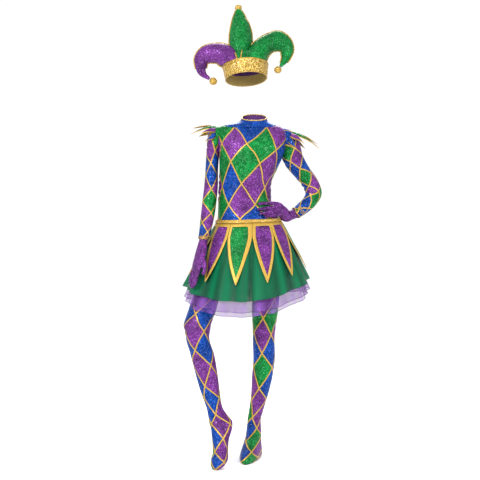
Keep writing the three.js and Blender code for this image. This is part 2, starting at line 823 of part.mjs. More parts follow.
// The trunk's half sizes at the belt's lower edge
const WAIST = {
  w: trunkPoint(90, BELT.low, 0)[0] - SKIRT.topX,
  f: -trunkPoint(0, BELT.low, 0)[1],
  b: trunkPoint(180, BELT.low, 0)[1],
};

// How far the skirt's folds stand out at an angle, in radians, and a share of its depth.
function fold(spread, s) {
  const uneven = spread + SKIRT.uneven * Math.sin(3 * spread + 0.6);
  return SKIRT.wave * s ** SKIRT.waveGrowth * Math.cos(SKIRT.waves * uneven);
}

// A point of the skirt: angle from the front towards the wearer's left, s from 0
// under the belt to 1 at the layer's hem, and its distance outside the trunk.
function skirtPoint(angle, s, layer, outwards) {
  const spread = radians(angle);
  const swell = SKIRT.swell * s * Math.sin(SKIRT.swells * spread + 1);
  const off = layer.off + outwards + fold(spread, s) + swell;
  const flare = s ** SKIRT.flare;
  const wide = mix(WAIST.w, layer.wide, flare) + off;
  const front = mix(WAIST.f, layer.deep, flare) + off;
  const backward = mix(WAIST.b, layer.deep, flare) + off;
  const [u, v] = around(spread - Math.PI / 2, wide, front, backward, mix(SQUARE, 2, s));
  const x = mix(SKIRT.topX, SKIRT.hemX, s) + u;
  const top = BELT.low - SEAM + BELT.tilt * (x - BELT.middle);
  const dip = SKIRT.hemFront * Math.cos(spread) + SKIRT.hemSides * Math.cos(2 * spread);
  const hem = SKIRT.hem - layer.longer - dip + SKIRT.hemLeft * Math.sin(spread);
  return [x, v, mix(top, hem, s)];
}

function tulle(layer) {
  return clothRing(
    allRound(SKIRT.steps).map((angle) => [
      ...SKIRT.levels.map((s) => skirtPoint(angle, s, layer, TULLE)),
      ...SKIRT.levels.map((s) => skirtPoint(angle, s, layer, 0)).reverse(),
    ]),
  );
}

// The petal lies over the crests of the green tulle.
function petal(index) {
  const middle = PETALS.first + (index * 360) / PETALS.count;
  const halfPitch = 180 / PETALS.count;
  const onCrests = (angle, s, up) => {
    const crest = SKIRT.wave * s ** SKIRT.waveGrowth;
    const lift = PETALS.lift * Math.min(1, s / PETALS.liftedFrom);
    const out = up + crest + lift - fold(radians(angle), s);
    return skirtPoint(angle, s, PETALS.layer, out);
  };
  const rings = PETALS.levels.map((t) => {
    const past = Math.max(0, (t - PETALS.valley) / (1 - PETALS.valley));
    const s = t * PETALS.length;
    const radius = mix(WAIST.w, PETALS.layer.wide, s);
    const halfGap = (PETALS.gap / radius) * (90 / Math.PI);
    const half = halfPitch * mix(1, PETALS.tip, past) - halfGap;
    const edge = (up) => PETALS.across.map((v) => onCrests(middle + half * v, s, up));
    return [...edge(PETALS.thick), ...edge(0).reverse()];
  });
  const inner = [1, 2, 5, 6];
  return outward(rings, (ring) =>
    ring[0].map((_, i) => inner.reduce((sum, k) => sum + ring[k][i] / 4, 0)),
  );
}

function beltRing() {
  const at = (base) => (x) => base + BELT.tilt * (x - BELT.middle);
  const heights = [at(BELT.low), () => WAIST_SEAM_Z, at(BELT.high)];
  return clothRing(
    allRound(TRUNK_SIDES).map((angle) =>
      trunkLoop(angle, heights, SEAM + BELT.thick, SEAM),
    ),
  );
}

// Assembly
const costume = new THREE.Group();
const worn = new THREE.Group();
worn.position.set(-WORN_AT.x, -WORN_AT.y, -WORN_AT.z);
costume.add(worn);

function addPiece(name, body, color, roughness = 0.45, metalness = 0) {
  const { vertProperties, triVerts } = body.getMesh();
  const geometry = new THREE.BufferGeometry();
  geometry.setAttribute("position", new THREE.BufferAttribute(new Float32Array(vertProperties), 3));
  geometry.setIndex(new THREE.BufferAttribute(new Uint32Array(triVerts), 1));
  geometry.computeVertexNormals();
  const material = new THREE.MeshStandardMaterial({ color, roughness, metalness });
  const mesh = new THREE.Mesh(geometry, material);
  mesh.name = name;
  worn.add(mesh);
}

for (const [name, [body, colour]] of Object.entries(hatPieces())) {
  addPiece(name, body, colour);
}
const shell = upperShell();
const { collar, collar_binding: binding } = collarPieces();
addPiece("collar", collar, BLUE);
addPiece("collar_binding", binding, GOLD);
for (const [name, body] of Object.entries(bodicePieces(shell))) {
  addPiece(name, body, name === "back_zip" ? GOLD : PURPLE);
}
for (const [name, body] of Object.entries(sleevePieces())) {
  addPiece(name, body, BLUE);
}
addPiece("shoulder_points_right", shoulderPoints(LEAVES_RIGHT), GREEN);
addPiece("shoulder_points_left", shoulderPoints(LEAVES_LEFT), GREEN);
for (const [name, body] of Object.entries(legPieces())) {
  addPiece(name, body, PURPLE);
}
addPiece("glove_right", glove(PALM_RIGHT, FINGERS_RIGHT, WRIST_RIGHT), PURPLE);
addPiece("glove_left", glove(PALM_LEFT, FINGERS_LEFT, WRIST_LEFT), PURPLE);
addPiece("belt", beltRing(), GOLD);
for (let i = 0; i < PETALS.count; i += 1) {
  const name = `petal_${String(i + 1).padStart(2, "0")}`;
  addPiece(name, petal(i), i % 3 === 1 ? GREEN : PURPLE);
}
for (const layer of LAYERS) {
  addPiece(layer.name, tulle(layer), layer.colour, 0.6);
}

export default costume;
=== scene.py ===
"""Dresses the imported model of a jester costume: hat, harlequin suit, gloves and skirt.

Sizes are floor millimetres, as in the part's source, and place() moves them to the frame.
Right and left are the wearer's.
"""

import logging
import math
from collections.abc import Sequence
from dataclasses import dataclass, field
from enum import Enum
from typing import Any, ClassVar

import bmesh
import bpy
import numpy as np
from mathutils import Matrix, Vector


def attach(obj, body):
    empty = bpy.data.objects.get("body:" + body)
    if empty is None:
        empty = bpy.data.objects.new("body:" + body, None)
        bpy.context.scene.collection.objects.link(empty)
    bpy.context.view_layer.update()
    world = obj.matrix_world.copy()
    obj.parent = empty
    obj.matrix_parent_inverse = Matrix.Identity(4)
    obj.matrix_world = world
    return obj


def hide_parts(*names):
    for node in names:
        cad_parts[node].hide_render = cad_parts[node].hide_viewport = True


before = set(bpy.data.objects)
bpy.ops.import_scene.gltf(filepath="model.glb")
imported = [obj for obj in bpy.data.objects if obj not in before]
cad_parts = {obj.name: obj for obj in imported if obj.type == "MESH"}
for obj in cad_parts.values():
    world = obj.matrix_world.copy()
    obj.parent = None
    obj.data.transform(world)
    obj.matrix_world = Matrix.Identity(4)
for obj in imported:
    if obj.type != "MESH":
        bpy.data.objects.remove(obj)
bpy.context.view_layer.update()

log = logging.getLogger("costume")
Array = np.ndarray
Row = dict[str, float]
WORN_AT = np.array([50.0, 0.0, 1400.0])
SHINE = 0.12
LEVEL = "z x y w f b"
ACROSS = "x y z w d"
FINGER = "x y z r"
LEAF = "at reach rise sway wide"
FOLD = "at angle half deep wide slant"


def table(columns: str, *rows: Sequence[float]) -> list[Row]:
    """Gives each number of each row the name of its column.

    Args:
        columns: The columns' names, with a space between them.
        rows: The numbers of each row.

    Returns:
        One dictionary for each row.
    """
    names = columns.split()
    return [dict(zip(names, row)) for row in rows]


def place(points: Array) -> Array:
    """Turns floor millimetres into the frame's metres."""
    return (np.asarray(points, float) - WORN_AT) / 1000


def mix(a: Any, b: Any, t: Any) -> Any:
    """Goes from a to b as t goes from 0 to 1."""
    return a + (b - a) * t


# sizes, as in the source

TRUNK = table(
    LEVEL,
    (1500, 62, 2, 47, 52, 54),
    (1446, 61, 0, 54, 54, 55),
    (1434, 60, 0, 60, 57, 58),
    (1426, 57, 0, 74, 60, 60),
    (1420, 50, 0, 97, 62, 64),
    (1413, 43, 0, 122, 65, 67),
    (1402, 44, 0, 141, 71, 73),
    (1387, 49, -1, 149, 80, 80),
    (1362, 52, -3, 151, 92, 87),
    (1327, 51, -5, 146, 104, 91),
    (1284, 47, -6, 137, 109, 92),
    (1225, 35, -4, 123, 103, 88),
    (1165, 22, 0, 112, 91, 83),
    (1112, 20, 0, 113, 86, 82),
    (1056, 27, 0, 121, 90, 89),
    (1008, 37, 0, 134, 98, 100),
    (960, 38, 0, 140, 101, 107),
    (895, 38, 0, 147, 103, 113),
    (838, 36, 0, 134, 94, 104),
    (818, 34, 0, 104, 74, 82),
)
ARM_RIGHT = table(
    LEVEL,
    (1410, -97, 0, 12, 16, 16),
    (1400, -98, 0, 28, 33, 33),
    (1379, -103, 0, 34, 40, 40),
    (1348, -108, 0, 33, 42, 42),
    (1300, -116, 0, 28, 38, 38),
    (1233, -121, -4, 27, 35, 35),
    (1160, -124, -13, 29, 34, 34),
    (1096, -130, -30, 30, 33, 33),
    (1032, -137, -55, 29, 31, 31),
    (965, -147, -84, 25, 27, 27),
    (905, -156, -108, 23, 25, 25),
)
ARM_LEFT = table(
    ACROSS,
    (166, -1, 1364, 36, 34),
    (188, 0, 1362, 42, 38),
    (206, 3, 1346, 44, 40),
    (217, 8, 1316, 45, 40),
    (227, 14, 1278, 44, 39),
    (246, 22, 1246, 41, 37),
    (276, 34, 1206, 36, 35),
    (309, 46, 1160, 35, 34),
    (320, 49, 1126, 35, 34),
    (306, 42, 1094, 31, 32),
    (273, 28, 1062, 28, 29),
    (247, 17, 1043, 25, 27),
    (216, 4, 1028, 23, 25),
)
LEG_RIGHT = table(
    LEVEL,
    (945, -40, 0, 58, 82, 90),
    (830, -90, -16, 62, 74, 78),
    (763, -119, -30, 58, 68, 70),
    (692, -141, -50, 57, 62, 63),
    (614, -165, -74, 59, 57, 58),
    (565, -180, -88, 57, 55, 54),
    (516, -178, -96, 49, 50, 50),
    (450, -159, -101, 50, 46, 53),
    (375, -142, -107, 47, 42, 51),
    (300, -126, -114, 41, 38, 43),
    (228, -106, -124, 34, 33, 35),
    (199, -93, -130, 41, 33, 35),
    (172, -80, -138, 49, 33, 34),
    (145, -77, -149, 44, 33, 33),
    (97, -81, -174, 34, 36, 36),
    (60, -80, -197, 32, 39, 39),
    (38, -84, -211, 35, 41, 41),
    (18, -90, -226, 30, 33, 33),
    (4, -96, -235, 17, 19, 19),
)
LEG_LEFT = table(
    f"{LEVEL} turn",
    (945, 112, 4, 60, 86, 92, 0),
    (828, 116, 8, 61, 76, 82, 0),
    (759, 113, 10, 61, 70, 74, 0),
    (686, 111, 10, 59, 65, 66, 0),
    (604, 107, 10, 55, 58, 60, 0),
    (553, 104, 8, 50, 54, 55, 0),
    (497, 102, 6, 47, 49, 50, 0),
    (420, 104, 9, 47, 45, 53, 0),
    (345, 97, 12, 45, 42, 52, 0),
    (265, 86, 15, 38, 37, 43, 0),
    (189, 70, 18, 31, 33, 35, -4),
    (145, 61, 18, 29, 34, 33, -8),
    (110, 60, 12, 31, 48, 38, -12),
    (80, 58, 0, 33, 78, 51, -13),
    (55, 54, -16, 36, 112, 67, -13),
    (32, 51, -30, 40, 137, 82, -13),
    (12, 50, -32, 42, 144, 82, -13),
    (1, 50, -32, 36, 136, 74, -13),
)
PALM_RIGHT = table(
    f"{ACROSS} turn",
    (-149, -86, 966, 18, 18, 10),
    (-152, -98, 936, 18, 18, 20),
    (-157, -110, 908, 21, 19, 35),
    (-163, -124, 878, 29, 18, 50),
    (-170, -135, 850, 36, 16, 60),
    (-177, -141, 826, 38, 15, 62),
    (-183, -143, 808, 34, 12, 64),
)
PALM_LEFT = table(
    ACROSS,
    (268, 26, 1058, 23, 24),
    (247, 17, 1043, 22, 23.8),
    (222, 7, 1031, 21, 19),
    (201, -12, 1027, 26, 16),
    (178, -41, 1047, 26, 12),
    (159, -64, 1058, 31, 10),
)
FINGERS_RIGHT = [
    table(
        FINGER,
        (-168, -171, 822, 8.2), (-176, -176, 791, 7.8),
        (-182, -177, 769, 7.4), (-187, -174, 747, 7),
    ),
    table(
        FINGER,
        (-175, -152, 818, 8.4), (-184, -156, 786, 8),
        (-191, -158, 761, 7.6), (-197, -157, 736, 7.2),
    ),
    table(
        FINGER,
        (-183, -133, 816, 8.2), (-194, -136, 786, 7.8),
        (-200, -138, 762, 7.4), (-205, -137, 738, 7),
    ),
    table(
        FINGER,
        (-190, -115, 818, 7.4), (-201, -116, 793, 7),
        (-206, -118, 772, 6.6), (-210, -118, 753, 6.2),
    ),
    table(
        FINGER,
        (-160, -148, 858, 9.8), (-147, -163, 838, 9.4),
        (-146, -172, 814, 9), (-151, -177, 793, 8.6),
    ),
]
FINGERS_LEFT = [
    table(
        FINGER,
        (163, -56, 1080, 8.2), (133, -74, 1083, 7.8),
        (106, -87, 1083, 7.4), (80, -97, 1080, 7),
    ),
    table(
        FINGER,
        (161, -60, 1064, 8.4), (133, -78, 1064, 8),
        (106, -91, 1061, 7.6), (79, -100, 1057, 7.2),
    ),
    table(
        FINGER,
        (163, -60, 1048, 8.2), (138, -80, 1047, 7.8),
        (112, -94, 1044, 7.4), (86, -103, 1040, 7),
    ),
    table(
        FINGER,
        (171, -60, 1036, 7.4), (152, -79, 1033, 7),
        (129, -91, 1030, 6.6), (108, -101, 1028, 6.2),
    ),
    table(
        FINGER,
        (203, -2, 1044, 9.6), (190, 16, 1056, 9.2),
        (172, 38, 1064, 8.8), (152, 58, 1066, 8.4),
    ),
]
HORN_MIDDLE = table(
    ACROSS,
    (0, 4, 1660, 52, 60),
    (0, 8, 1700, 51, 58),
    (1, 14, 1742, 49, 52),
    (3, 20, 1777, 49, 47),
    (3, 27, 1809, 48, 42),
    (1, 34, 1842, 42, 36),
    (-3, 42, 1876, 31, 27),
    (-5, 48, 1903, 20, 18),
    (-7, 52, 1921, 11, 10),
)
HORN_RIGHT = table(
    ACROSS,
    (-4, -2, 1660, 36, 88),
    (-32, -1, 1690, 42, 84),
    (-60, 2, 1713, 48, 66),
    (-95, 4, 1727, 43, 50),
    (-127, 6, 1726, 40, 42),
    (-154, 6, 1713, 36, 35),
    (-168, 6, 1690, 29, 28),
    (-168, 6, 1662, 23, 21),
    (-157, 6, 1637, 15, 14),
    (-132, 6, 1616, 6, 6),
)
HORN_LEFT = table(
    ACROSS,
    (52, -2, 1655, 44, 90),
    (62, -1, 1693, 50, 88),
    (78, 2, 1726, 46, 70),
    (99, 4, 1751, 42, 54),
    (127, 6, 1771, 40, 44),
    (161, 6, 1779, 43, 40),
    (190, 6, 1763, 37, 34),
    (202, 6, 1737, 28, 27),
    (198, 6, 1711, 20, 19),
    (188, 6, 1690, 13, 12),
    (175, 6, 1669, 6, 6),
)
BOBBLES = {"middle": (-7, 54, 1931, 15), "right": (-115, 6, 1607, 17), "left": (163, 6, 1656, 16)}
HAT_LEAN = Matrix.Rotation(math.radians(-4), 4, "Y") @ Matrix.Rotation(math.radians(-12), 4, "X")
HAT_PLACE = Matrix.Translation((27, 0, 1616)) @ HAT_LEAN
BAND = {"high": 57, "foot": (89, 102), "top": (98, 112)}
CROWN = table(
    LEVEL,
    (115, 0, 0, 18, 21, 21),
    (111, 0, 0, 42, 49, 49),
    (104, 0, 0, 62, 73, 73),
    (92, 0, 0, 79, 92, 92),
    (76, 0, 0, 89, 103, 103),
    (57.3, 0, 0, 93, 107, 107),
    (48, 0, 0, 93, 107, 107),
)
LEAVES_RIGHT = table(
    LEAF,
    (-74, 44, -30, -16, 30),
    (-44, 63, -16, -14, 32),
    (-14, 105, -27, -8, 36),
    (16, 98, 0, 6, 36),
    (50, 76, -20, 24, 34),
)
LEAVES_LEFT = table(
    LEAF,
    (-74, 46, -24, -14, 30),
    (-44, 68, -10, -12, 32),
    (-14, 136, -12, -8, 36),
    (16, 124, 4, 6, 36),
    (50, 84, -18, 24, 34),
)

# tubes of cloth


def smooth(values: Sequence[float], stations: Array, at: Array) -> Array:
    """Joins the values of a table's column without overshooting any of them.

    Args:
        values: The column.
        stations: Where each value stands, rising.
        at: Where the curve is wanted.

    Returns:
        The curve's values at those places.
    """
    v = np.asarray(values, float)
    at = np.clip(np.asarray(at, float), stations[0], stations[-1])
    step = np.diff(stations)
    slope = np.diff(v) / step
    ahead, behind = slope[1:], slope[:-1]
    first, second = 2 * step[1:] + step[:-1], step[1:] + 2 * step[:-1]
    same = ahead * behind > 0
    safe = np.where(same, ahead * behind, 1.0)
    inner = np.where(same, (first + second) * safe / (first * ahead + second * behind + (~same)), 0.0)
    tangent = np.concatenate([[slope[0]], inner, [slope[-1]]])
    k = np.clip(np.searchsorted(stations, at, side="right") - 1, 0, len(step) - 1)
    t = (at - stations[k]) / step[k]
    return (
        (1 + 2 * t) * (1 - t) ** 2 * v[k]
        + t * (1 - t) ** 2 * step[k] * tangent[k]
        + t * t * (3 - 2 * t) * v[k + 1]
        - t * t * (1 - t) * step[k] * tangent[k + 1]
    )


def power(value: Array, exponent: Array | float) -> Array:
    """Raises the size of a number to a power and keeps its sign."""
    return np.sign(value) * np.abs(value) ** exponent


class Tube:
    """A closed tube of cloth through a table of sections, smooth between them.

    Angles are radians from the front towards the wearer's left, and stations are
    millimetres from the first section.
    """

    def __init__(self, rows: list[Row]) -> None:
        """Keeps the table and works out where its sections stand."""
        self.rows = rows
        self.middles = np.array([[row["x"], row["y"], row["z"]] for row in rows], float)
        self.stations = self.stand()
        self.length = float(self.stations[-1])

    def stand(self) -> Array:
        """Gives the stations of the sections."""
        raise NotImplementedError

    def size(self, name: str, at: Array) -> Array:
        """Gives a column of the table at the stations."""
        return smooth([row.get(name, 0.0) for row in self.rows], self.stations, at)

    def centre(self, at: Array) -> Array:
        """Gives the middle of the tube at the stations."""
        return np.stack([smooth(self.middles[:, i], self.stations, at) for i in range(3)], -1)

    def point(self, angle: Array, at: Array, grow: Array | float = 0.0) -> Array:
        """Gives points of the tube's skin.

        Args:
            angle: Radians from the front.
            at: Stations.
            grow: How far the points stand out from the skin.

        Returns:
            The points, in floor millimetres.
        """
        raise NotImplementedError

    def inside(self, points: Array, grow: float) -> Array:
        """Tells which points lie inside the tube, made fatter by grow.

        Args:
            points: Points, in floor millimetres.
            grow: How much fatter the tube is.

        Returns:
            One truth value for each point.
        """
        raise NotImplementedError


class LevelTube(Tube):
    """A tube through level sections, from the top down."""

    def __init__(self, rows: list[Row], square: float = 2.0) -> None:
        """Keeps the table and how square the sections are."""
        self.square = square
        super().__init__(rows)

    def stand(self) -> Array:
        """Gives how far each section lies under the first one."""
        return self.middles[0, 2] - self.middles[:, 2]

    def station(self, z: Array | float) -> Array:
        """Turns heights into stations."""
        return self.middles[0, 2] - np.asarray(z, float)

    def point(self, angle: Array, at: Array, grow: Array | float = 0.0) -> Array:
        """Gives points of the skin, as Tube.point does."""
        angle, at = np.broadcast_arrays(np.asarray(angle, float), np.asarray(at, float))
        sine, cosine = np.sin(angle), np.cos(angle)
        deep = np.where(cosine > 0, self.size("f", at), self.size("b", at)) + grow
        u = (self.size("w", at) + grow) * power(sine, 2 / self.square)
        v = -deep * power(cosine, 2 / self.square)
        turn = np.radians(self.size("turn", at))
        level = [u * np.cos(turn) - v * np.sin(turn), u * np.sin(turn) + v * np.cos(turn), 0 * u]
        return self.centre(at) + np.stack(level, -1)

    def inside(self, points: Array, grow: float) -> Array:
        """Tells which points lie inside, as Tube.inside does."""
        at = self.station(points[..., 2])
        away = points - self.centre(at)
        turn = np.radians(self.size("turn", at))
        u = away[..., 0] * np.cos(turn) + away[..., 1] * np.sin(turn)
        v = -away[..., 0] * np.sin(turn) + away[..., 1] * np.cos(turn)
        wide = np.maximum(self.size("w", at) + grow, 1)
        deep = np.maximum(np.where(v < 0, self.size("f", at), self.size("b", at)) + grow, 1)
        within = np.abs(u / wide) ** self.square + np.abs(v / deep) ** self.square < 1
        return within & (at > 0) & (at < self.length)


class PathTube(Tube):
    """A tube whose sections stand across its path."""

    def stand(self) -> Array:
        """Gives how far each section lies along the path."""
        steps = np.linalg.norm(np.diff(self.middles, axis=0), axis=1)
        return np.concatenate([[0.0], np.cumsum(steps)])

    def axes(self, at: Array) -> tuple[Array, Array]:
        """Gives the unit vectors across the path at the stations.

        Args:
            at: Stations.

        Returns:
            The direction of the width, and the direction to the back.
        """
        along = self.centre(np.clip(at + 4, 0, self.length)) - self.centre(np.clip(at - 4, 0, self.length))
        along /= np.linalg.norm(along, axis=-1, keepdims=True)
        back = np.array([0.0, 1.0, 0.0])
        second = back - along * (along @ back)[..., None]
        second /= np.linalg.norm(second, axis=-1, keepdims=True)
        first = np.cross(second, along)
        turn = np.radians(self.size("turn", at))[..., None]
        wide = first * np.cos(turn) + second * np.sin(turn)
        return wide, np.cross(along, wide)

    def point(self, angle: Array, at: Array, grow: Array | float = 0.0) -> Array:
        """Gives points of the skin, as Tube.point does."""
        angle, at = np.broadcast_arrays(np.asarray(angle, float), np.asarray(at, float))
        wide, deep = self.axes(at)
        u = ((self.size("w", at) + grow) * np.sin(angle))[..., None]
        v = ((self.size("d", at) + grow) * np.cos(angle))[..., None]
        return self.centre(at) - wide * u - deep * v

    def inside(self, points: Array, grow: float) -> Array:
        """Tells which points lie inside, as Tube.inside does."""
        at = np.linspace(0, self.length, 160)
        middles = self.centre(at)
        flat = points.reshape(-1, 3)
        near = np.linalg.norm(flat[:, None] - middles[None], axis=-1).argmin(1)
        wide, deep = self.axes(at)
        away = flat - middles[near]
        u = (away * wide[near]).sum(-1) / (self.size("w", at)[near] + grow)
        v = (away * deep[near]).sum(-1) / (self.size("d", at)[near] + grow)
        ends = (near > 0) & (near < len(at) - 1)
        return ((u * u + v * v < 1) & ends).reshape(points.shape[:-1])


trunk = LevelTube(TRUNK, 2.3)
arm_right = LevelTube(ARM_RIGHT)
arm_left = PathTube(ARM_LEFT)
leg_right = LevelTube(LEG_RIGHT)
leg_left = LevelTube(LEG_LEFT)

CREASE_DEPTH = 1.25
RIDGE = 0.45
RIDGE_AWAY = 1.7


def creases(rows: list[Row], angle: Array, at: Array, radius: Array | float) -> Array:
    """Works out how far the cloth stands out beside soft troughs listed in a table.

    Args:
        rows: at and angle (degrees) of each crease's middle, its half length, its depth,
            its width and its slant, which is the rise for each millimetre round the tube.
        angle: Radians from the front.
        at: Stations.
        radius: The tube's radius, which turns angles into millimetres.

    Returns:
        Millimetres, inwards below zero.
    """
    out = np.zeros(np.broadcast(angle, at).shape)
    for row in rows:
        round_it = (angle - math.radians(row["angle"]) + math.pi) % (2 * math.pi) - math.pi
        u = round_it * radius
        v = (at - row["at"] - row["slant"] * u) / row["wide"]
        reach = np.clip(1 - (u / row["half"]) ** 2, 0, 1) ** 1.5
        ridge = np.exp(-((v - RIDGE_AWAY) ** 2)) + np.exp(-((v + RIDGE_AWAY) ** 2))
        out += CREASE_DEPTH * row["deep"] * reach * (RIDGE * ridge - np.exp(-v * v))
    return out


@dataclass
class Grid:
    """A sheet of points, its rows running down and its columns towards the left side."""

    points: Array
    closed: bool = True
    cap_top: bool = False
    cap_foot: bool = False
    keep: Array | None = None
    data: dict[str, Array] = field(default_factory=dict)
    slot: int = 0

    def faces(self, first: int) -> tuple[list[tuple[int, ...]], list[int]]:
        """Lists the faces and the extra points that caps need.

        Args:
            first: The number of the grid's first point in the mesh.

        Returns:
            The faces, and the row that each extra point is the middle of.
        """
        rows, columns = self.points.shape[:2]
        wide = columns if self.closed else columns - 1
        r, c = np.meshgrid(np.arange(rows - 1), np.arange(wide), indexing="ij")
        n = (c + 1) % columns
        below = r + 1
        quads = [r * columns + c, below * columns + c, below * columns + n, r * columns + n]
        quads = np.stack(quads, -1)
        if self.keep is not None:
            quads = quads[self.keep[:, :wide]]
        made = [tuple(q) for q in (quads.reshape(-1, 4) + first).tolist()]
        middles: list[int] = []
        for wanted, row in ((self.cap_top, 0), (self.cap_foot, rows - 1)):
            if wanted:
                centre = first + rows * columns + len(middles)
                middles.append(row)
                for k in range(columns):
                    a, b = first + row * columns + k, first + row * columns + (k + 1) % columns
                    made.append((centre, a, b) if row == 0 else (centre, b, a))
        return made, middles


def build(name: str, grids: Sequence[Grid], finishes: Sequence["Finish"]) -> bpy.types.Object:
    """Makes one smooth mesh object of the grids.

    Args:
        name: The piece's name.
        grids: The sheets of points.
        finishes: The slots' finishes.

    Returns:
        The object, at the origin.
    """
    points, faces, slots = [], [], []
    data: dict[str, list[Array]] = {key: [] for key in grids[0].data}
    count = 0
    for grid in grids:
        made, middles = grid.faces(count)
        flat = grid.points.reshape(-1, 3)
        extra = [grid.points[row].mean(0) for row in middles]
        points += [flat, *[e[None] for e in extra]]
        count += len(flat) + len(extra)
        faces += made
        slots += [grid.slot] * len(made)
        for key in data:
            values = grid.data[key]
            data[key].append(values.reshape(flat.shape[0], -1))
            data[key] += [values[row].mean(0).reshape(1, -1) for row in middles]
    mesh = bpy.data.meshes.new(name)
    mesh.from_pydata(place(np.concatenate(points)).tolist(), [], faces)
    for key, parts in data.items():
        values = np.concatenate(parts)
        kind, prop = ("FLOAT", "value") if values.shape[1] == 1 else ("FLOAT_VECTOR", "vector")
        layer = mesh.attributes.new(key, kind, "POINT")
        layer.data.foreach_set(prop, values.astype(np.float32).ravel())
    mesh.polygons.foreach_set("use_smooth", [True] * len(faces))
    for finish in finishes:
        mesh.materials.append(finish.material())
    mesh.polygons.foreach_set("material_index", slots)
    mesh.update()
    return add_object(name, mesh)


def add_object(name: str, data: Any) -> bpy.types.Object:
    """Links a new object with this mesh, curve, lamp or camera to the scene."""
    thing = bpy.data.objects.new(name, data)
    bpy.context.scene.collection.objects.link(thing)
    return thing


def drop_loose(thing: bpy.types.Object) -> None:
    """Takes out the points that no face uses."""
    work = bmesh.new()
    work.from_mesh(thing.data)
    bmesh.ops.delete(work, geom=[v for v in work.verts if not v.link_faces], context="VERTS")
    work.to_mesh(thing.data)
    work.free()


def weld(thing: bpy.types.Object) -> None:
    """Joins the points that lie on each other."""
    work = bmesh.new()
    work.from_mesh(thing.data)
    bmesh.ops.remove_doubles(work, verts=work.verts, dist=0.00001)
    work.to_mesh(thing.data)
    work.free()


def thicken(thing: bpy.types.Object, thick: float, lining: int = 0) -> None:
    """Gives a sheet its thickness, inwards, with the lining's material inside.

    Args:
        thing: The sheet.
        thick: Millimetres.
        lining: How many slots after the outer one the lining's is.
    """
    wall = thing.modifiers.new("wall", "SOLIDIFY")
    wall.thickness = thick / 1000
    wall.offset = -1
    wall.use_even_offset = False
    wall.material_offset = lining
    wall.material_offset_rim = 0


def baked(thing: bpy.types.Object) -> bpy.types.Mesh:
    """Turns what the object's modifiers make into a plain mesh."""
    bpy.context.view_layer.update()
    shown = thing.evaluated_get(bpy.context.evaluated_depsgraph_get())
    return bpy.data.meshes.new_from_object(shown)


# shader nodes


class Trees:
    """A node tree and the one method that adds a node to it."""

    def __init__(self, tree: bpy.types.NodeTree) -> None:
        """Empties the tree."""
        self.tree = tree
        tree.nodes.clear()

    def node(
        self, kind: str, settings: dict[str, Any] | None = None, sockets: dict[Any, Any] | None = None
    ) -> bpy.types.Node:
        """Adds a node.

        Args:
            kind: The node's type.
            settings: The node's own settings, which are set first.
            sockets: Values or links of its input sockets, by name or number.

        Returns:
            The node.
        """
        made = self.tree.nodes.new(kind)
        for name, value in (settings or {}).items():
            setattr(made, name, value)
        for key, value in (sockets or {}).items():
            socket = made.inputs[key]
            value = value.socket if isinstance(value, Number) else value
            if isinstance(value, bpy.types.NodeSocket):
                self.tree.links.new(value, socket)
            else:
                socket.default_value = value
        return made


class Number:
    """A number that varies over a surface; its operators add Math nodes."""

    def __init__(self, trees: Trees, socket: bpy.types.NodeSocket) -> None:
        """Wraps a socket."""
        self.trees = trees
        self.socket = socket

    def math(self, operation: str, *values: Any) -> "Number":
        """Adds a Math node on these values."""
        node = self.trees.node("ShaderNodeMath", {"operation": operation}, dict(enumerate(values)))
        return Number(self.trees, node.outputs[0])

    def __add__(self, other: Any) -> "Number":
        """Adds."""
        return self.math("ADD", self, other)

    __radd__ = __add__

    def __mul__(self, other: Any) -> "Number":
        """Multiplies."""
        return self.math("MULTIPLY", self, other)

    __rmul__ = __mul__

    def __sub__(self, other: Any) -> "Number":
        """Subtracts a value from this one."""
        return self.math("SUBTRACT", self, other)

    def __rsub__(self, other: Any) -> "Number":
        """Subtracts this one from a value."""
        return self.math("SUBTRACT", other, self)

    def __truediv__(self, other: Any) -> "Number":
        """Divides by a value."""
        return self.math("DIVIDE", self, other)

    def __rtruediv__(self, other: Any) -> "Number":
        """Divides a value by this one."""
        return self.math("DIVIDE", other, self)

    def __gt__(self, other: Any) -> "Number":
        """Is 1 where this is greater."""
        return self.math("GREATER_THAN", self, other)

    def __abs__(self) -> "Number":
        """Drops the sign."""
        return self.math("ABSOLUTE", self)

    def floor(self) -> "Number":
        """Rounds down."""
        return self.math("FLOOR", self)

    def least(self, other: Any) -> "Number":
        """Takes the smaller value."""
        return self.math("MINIMUM", self, other)

    def most(self, other: Any) -> "Number":
        """Takes the larger value."""
        return self.math("MAXIMUM", self, other)

    def ramp(self, low: float, high: float) -> "Number":
        """Goes smoothly from 0 at low to 1 at high."""
        settings = {"interpolation_type": "SMOOTHSTEP"}
        node = self.trees.node("ShaderNodeMapRange", settings, {0: self, 1: low, 2: high, 3: 0.0, 4: 1.0})
        return Number(self.trees, node.outputs[0])


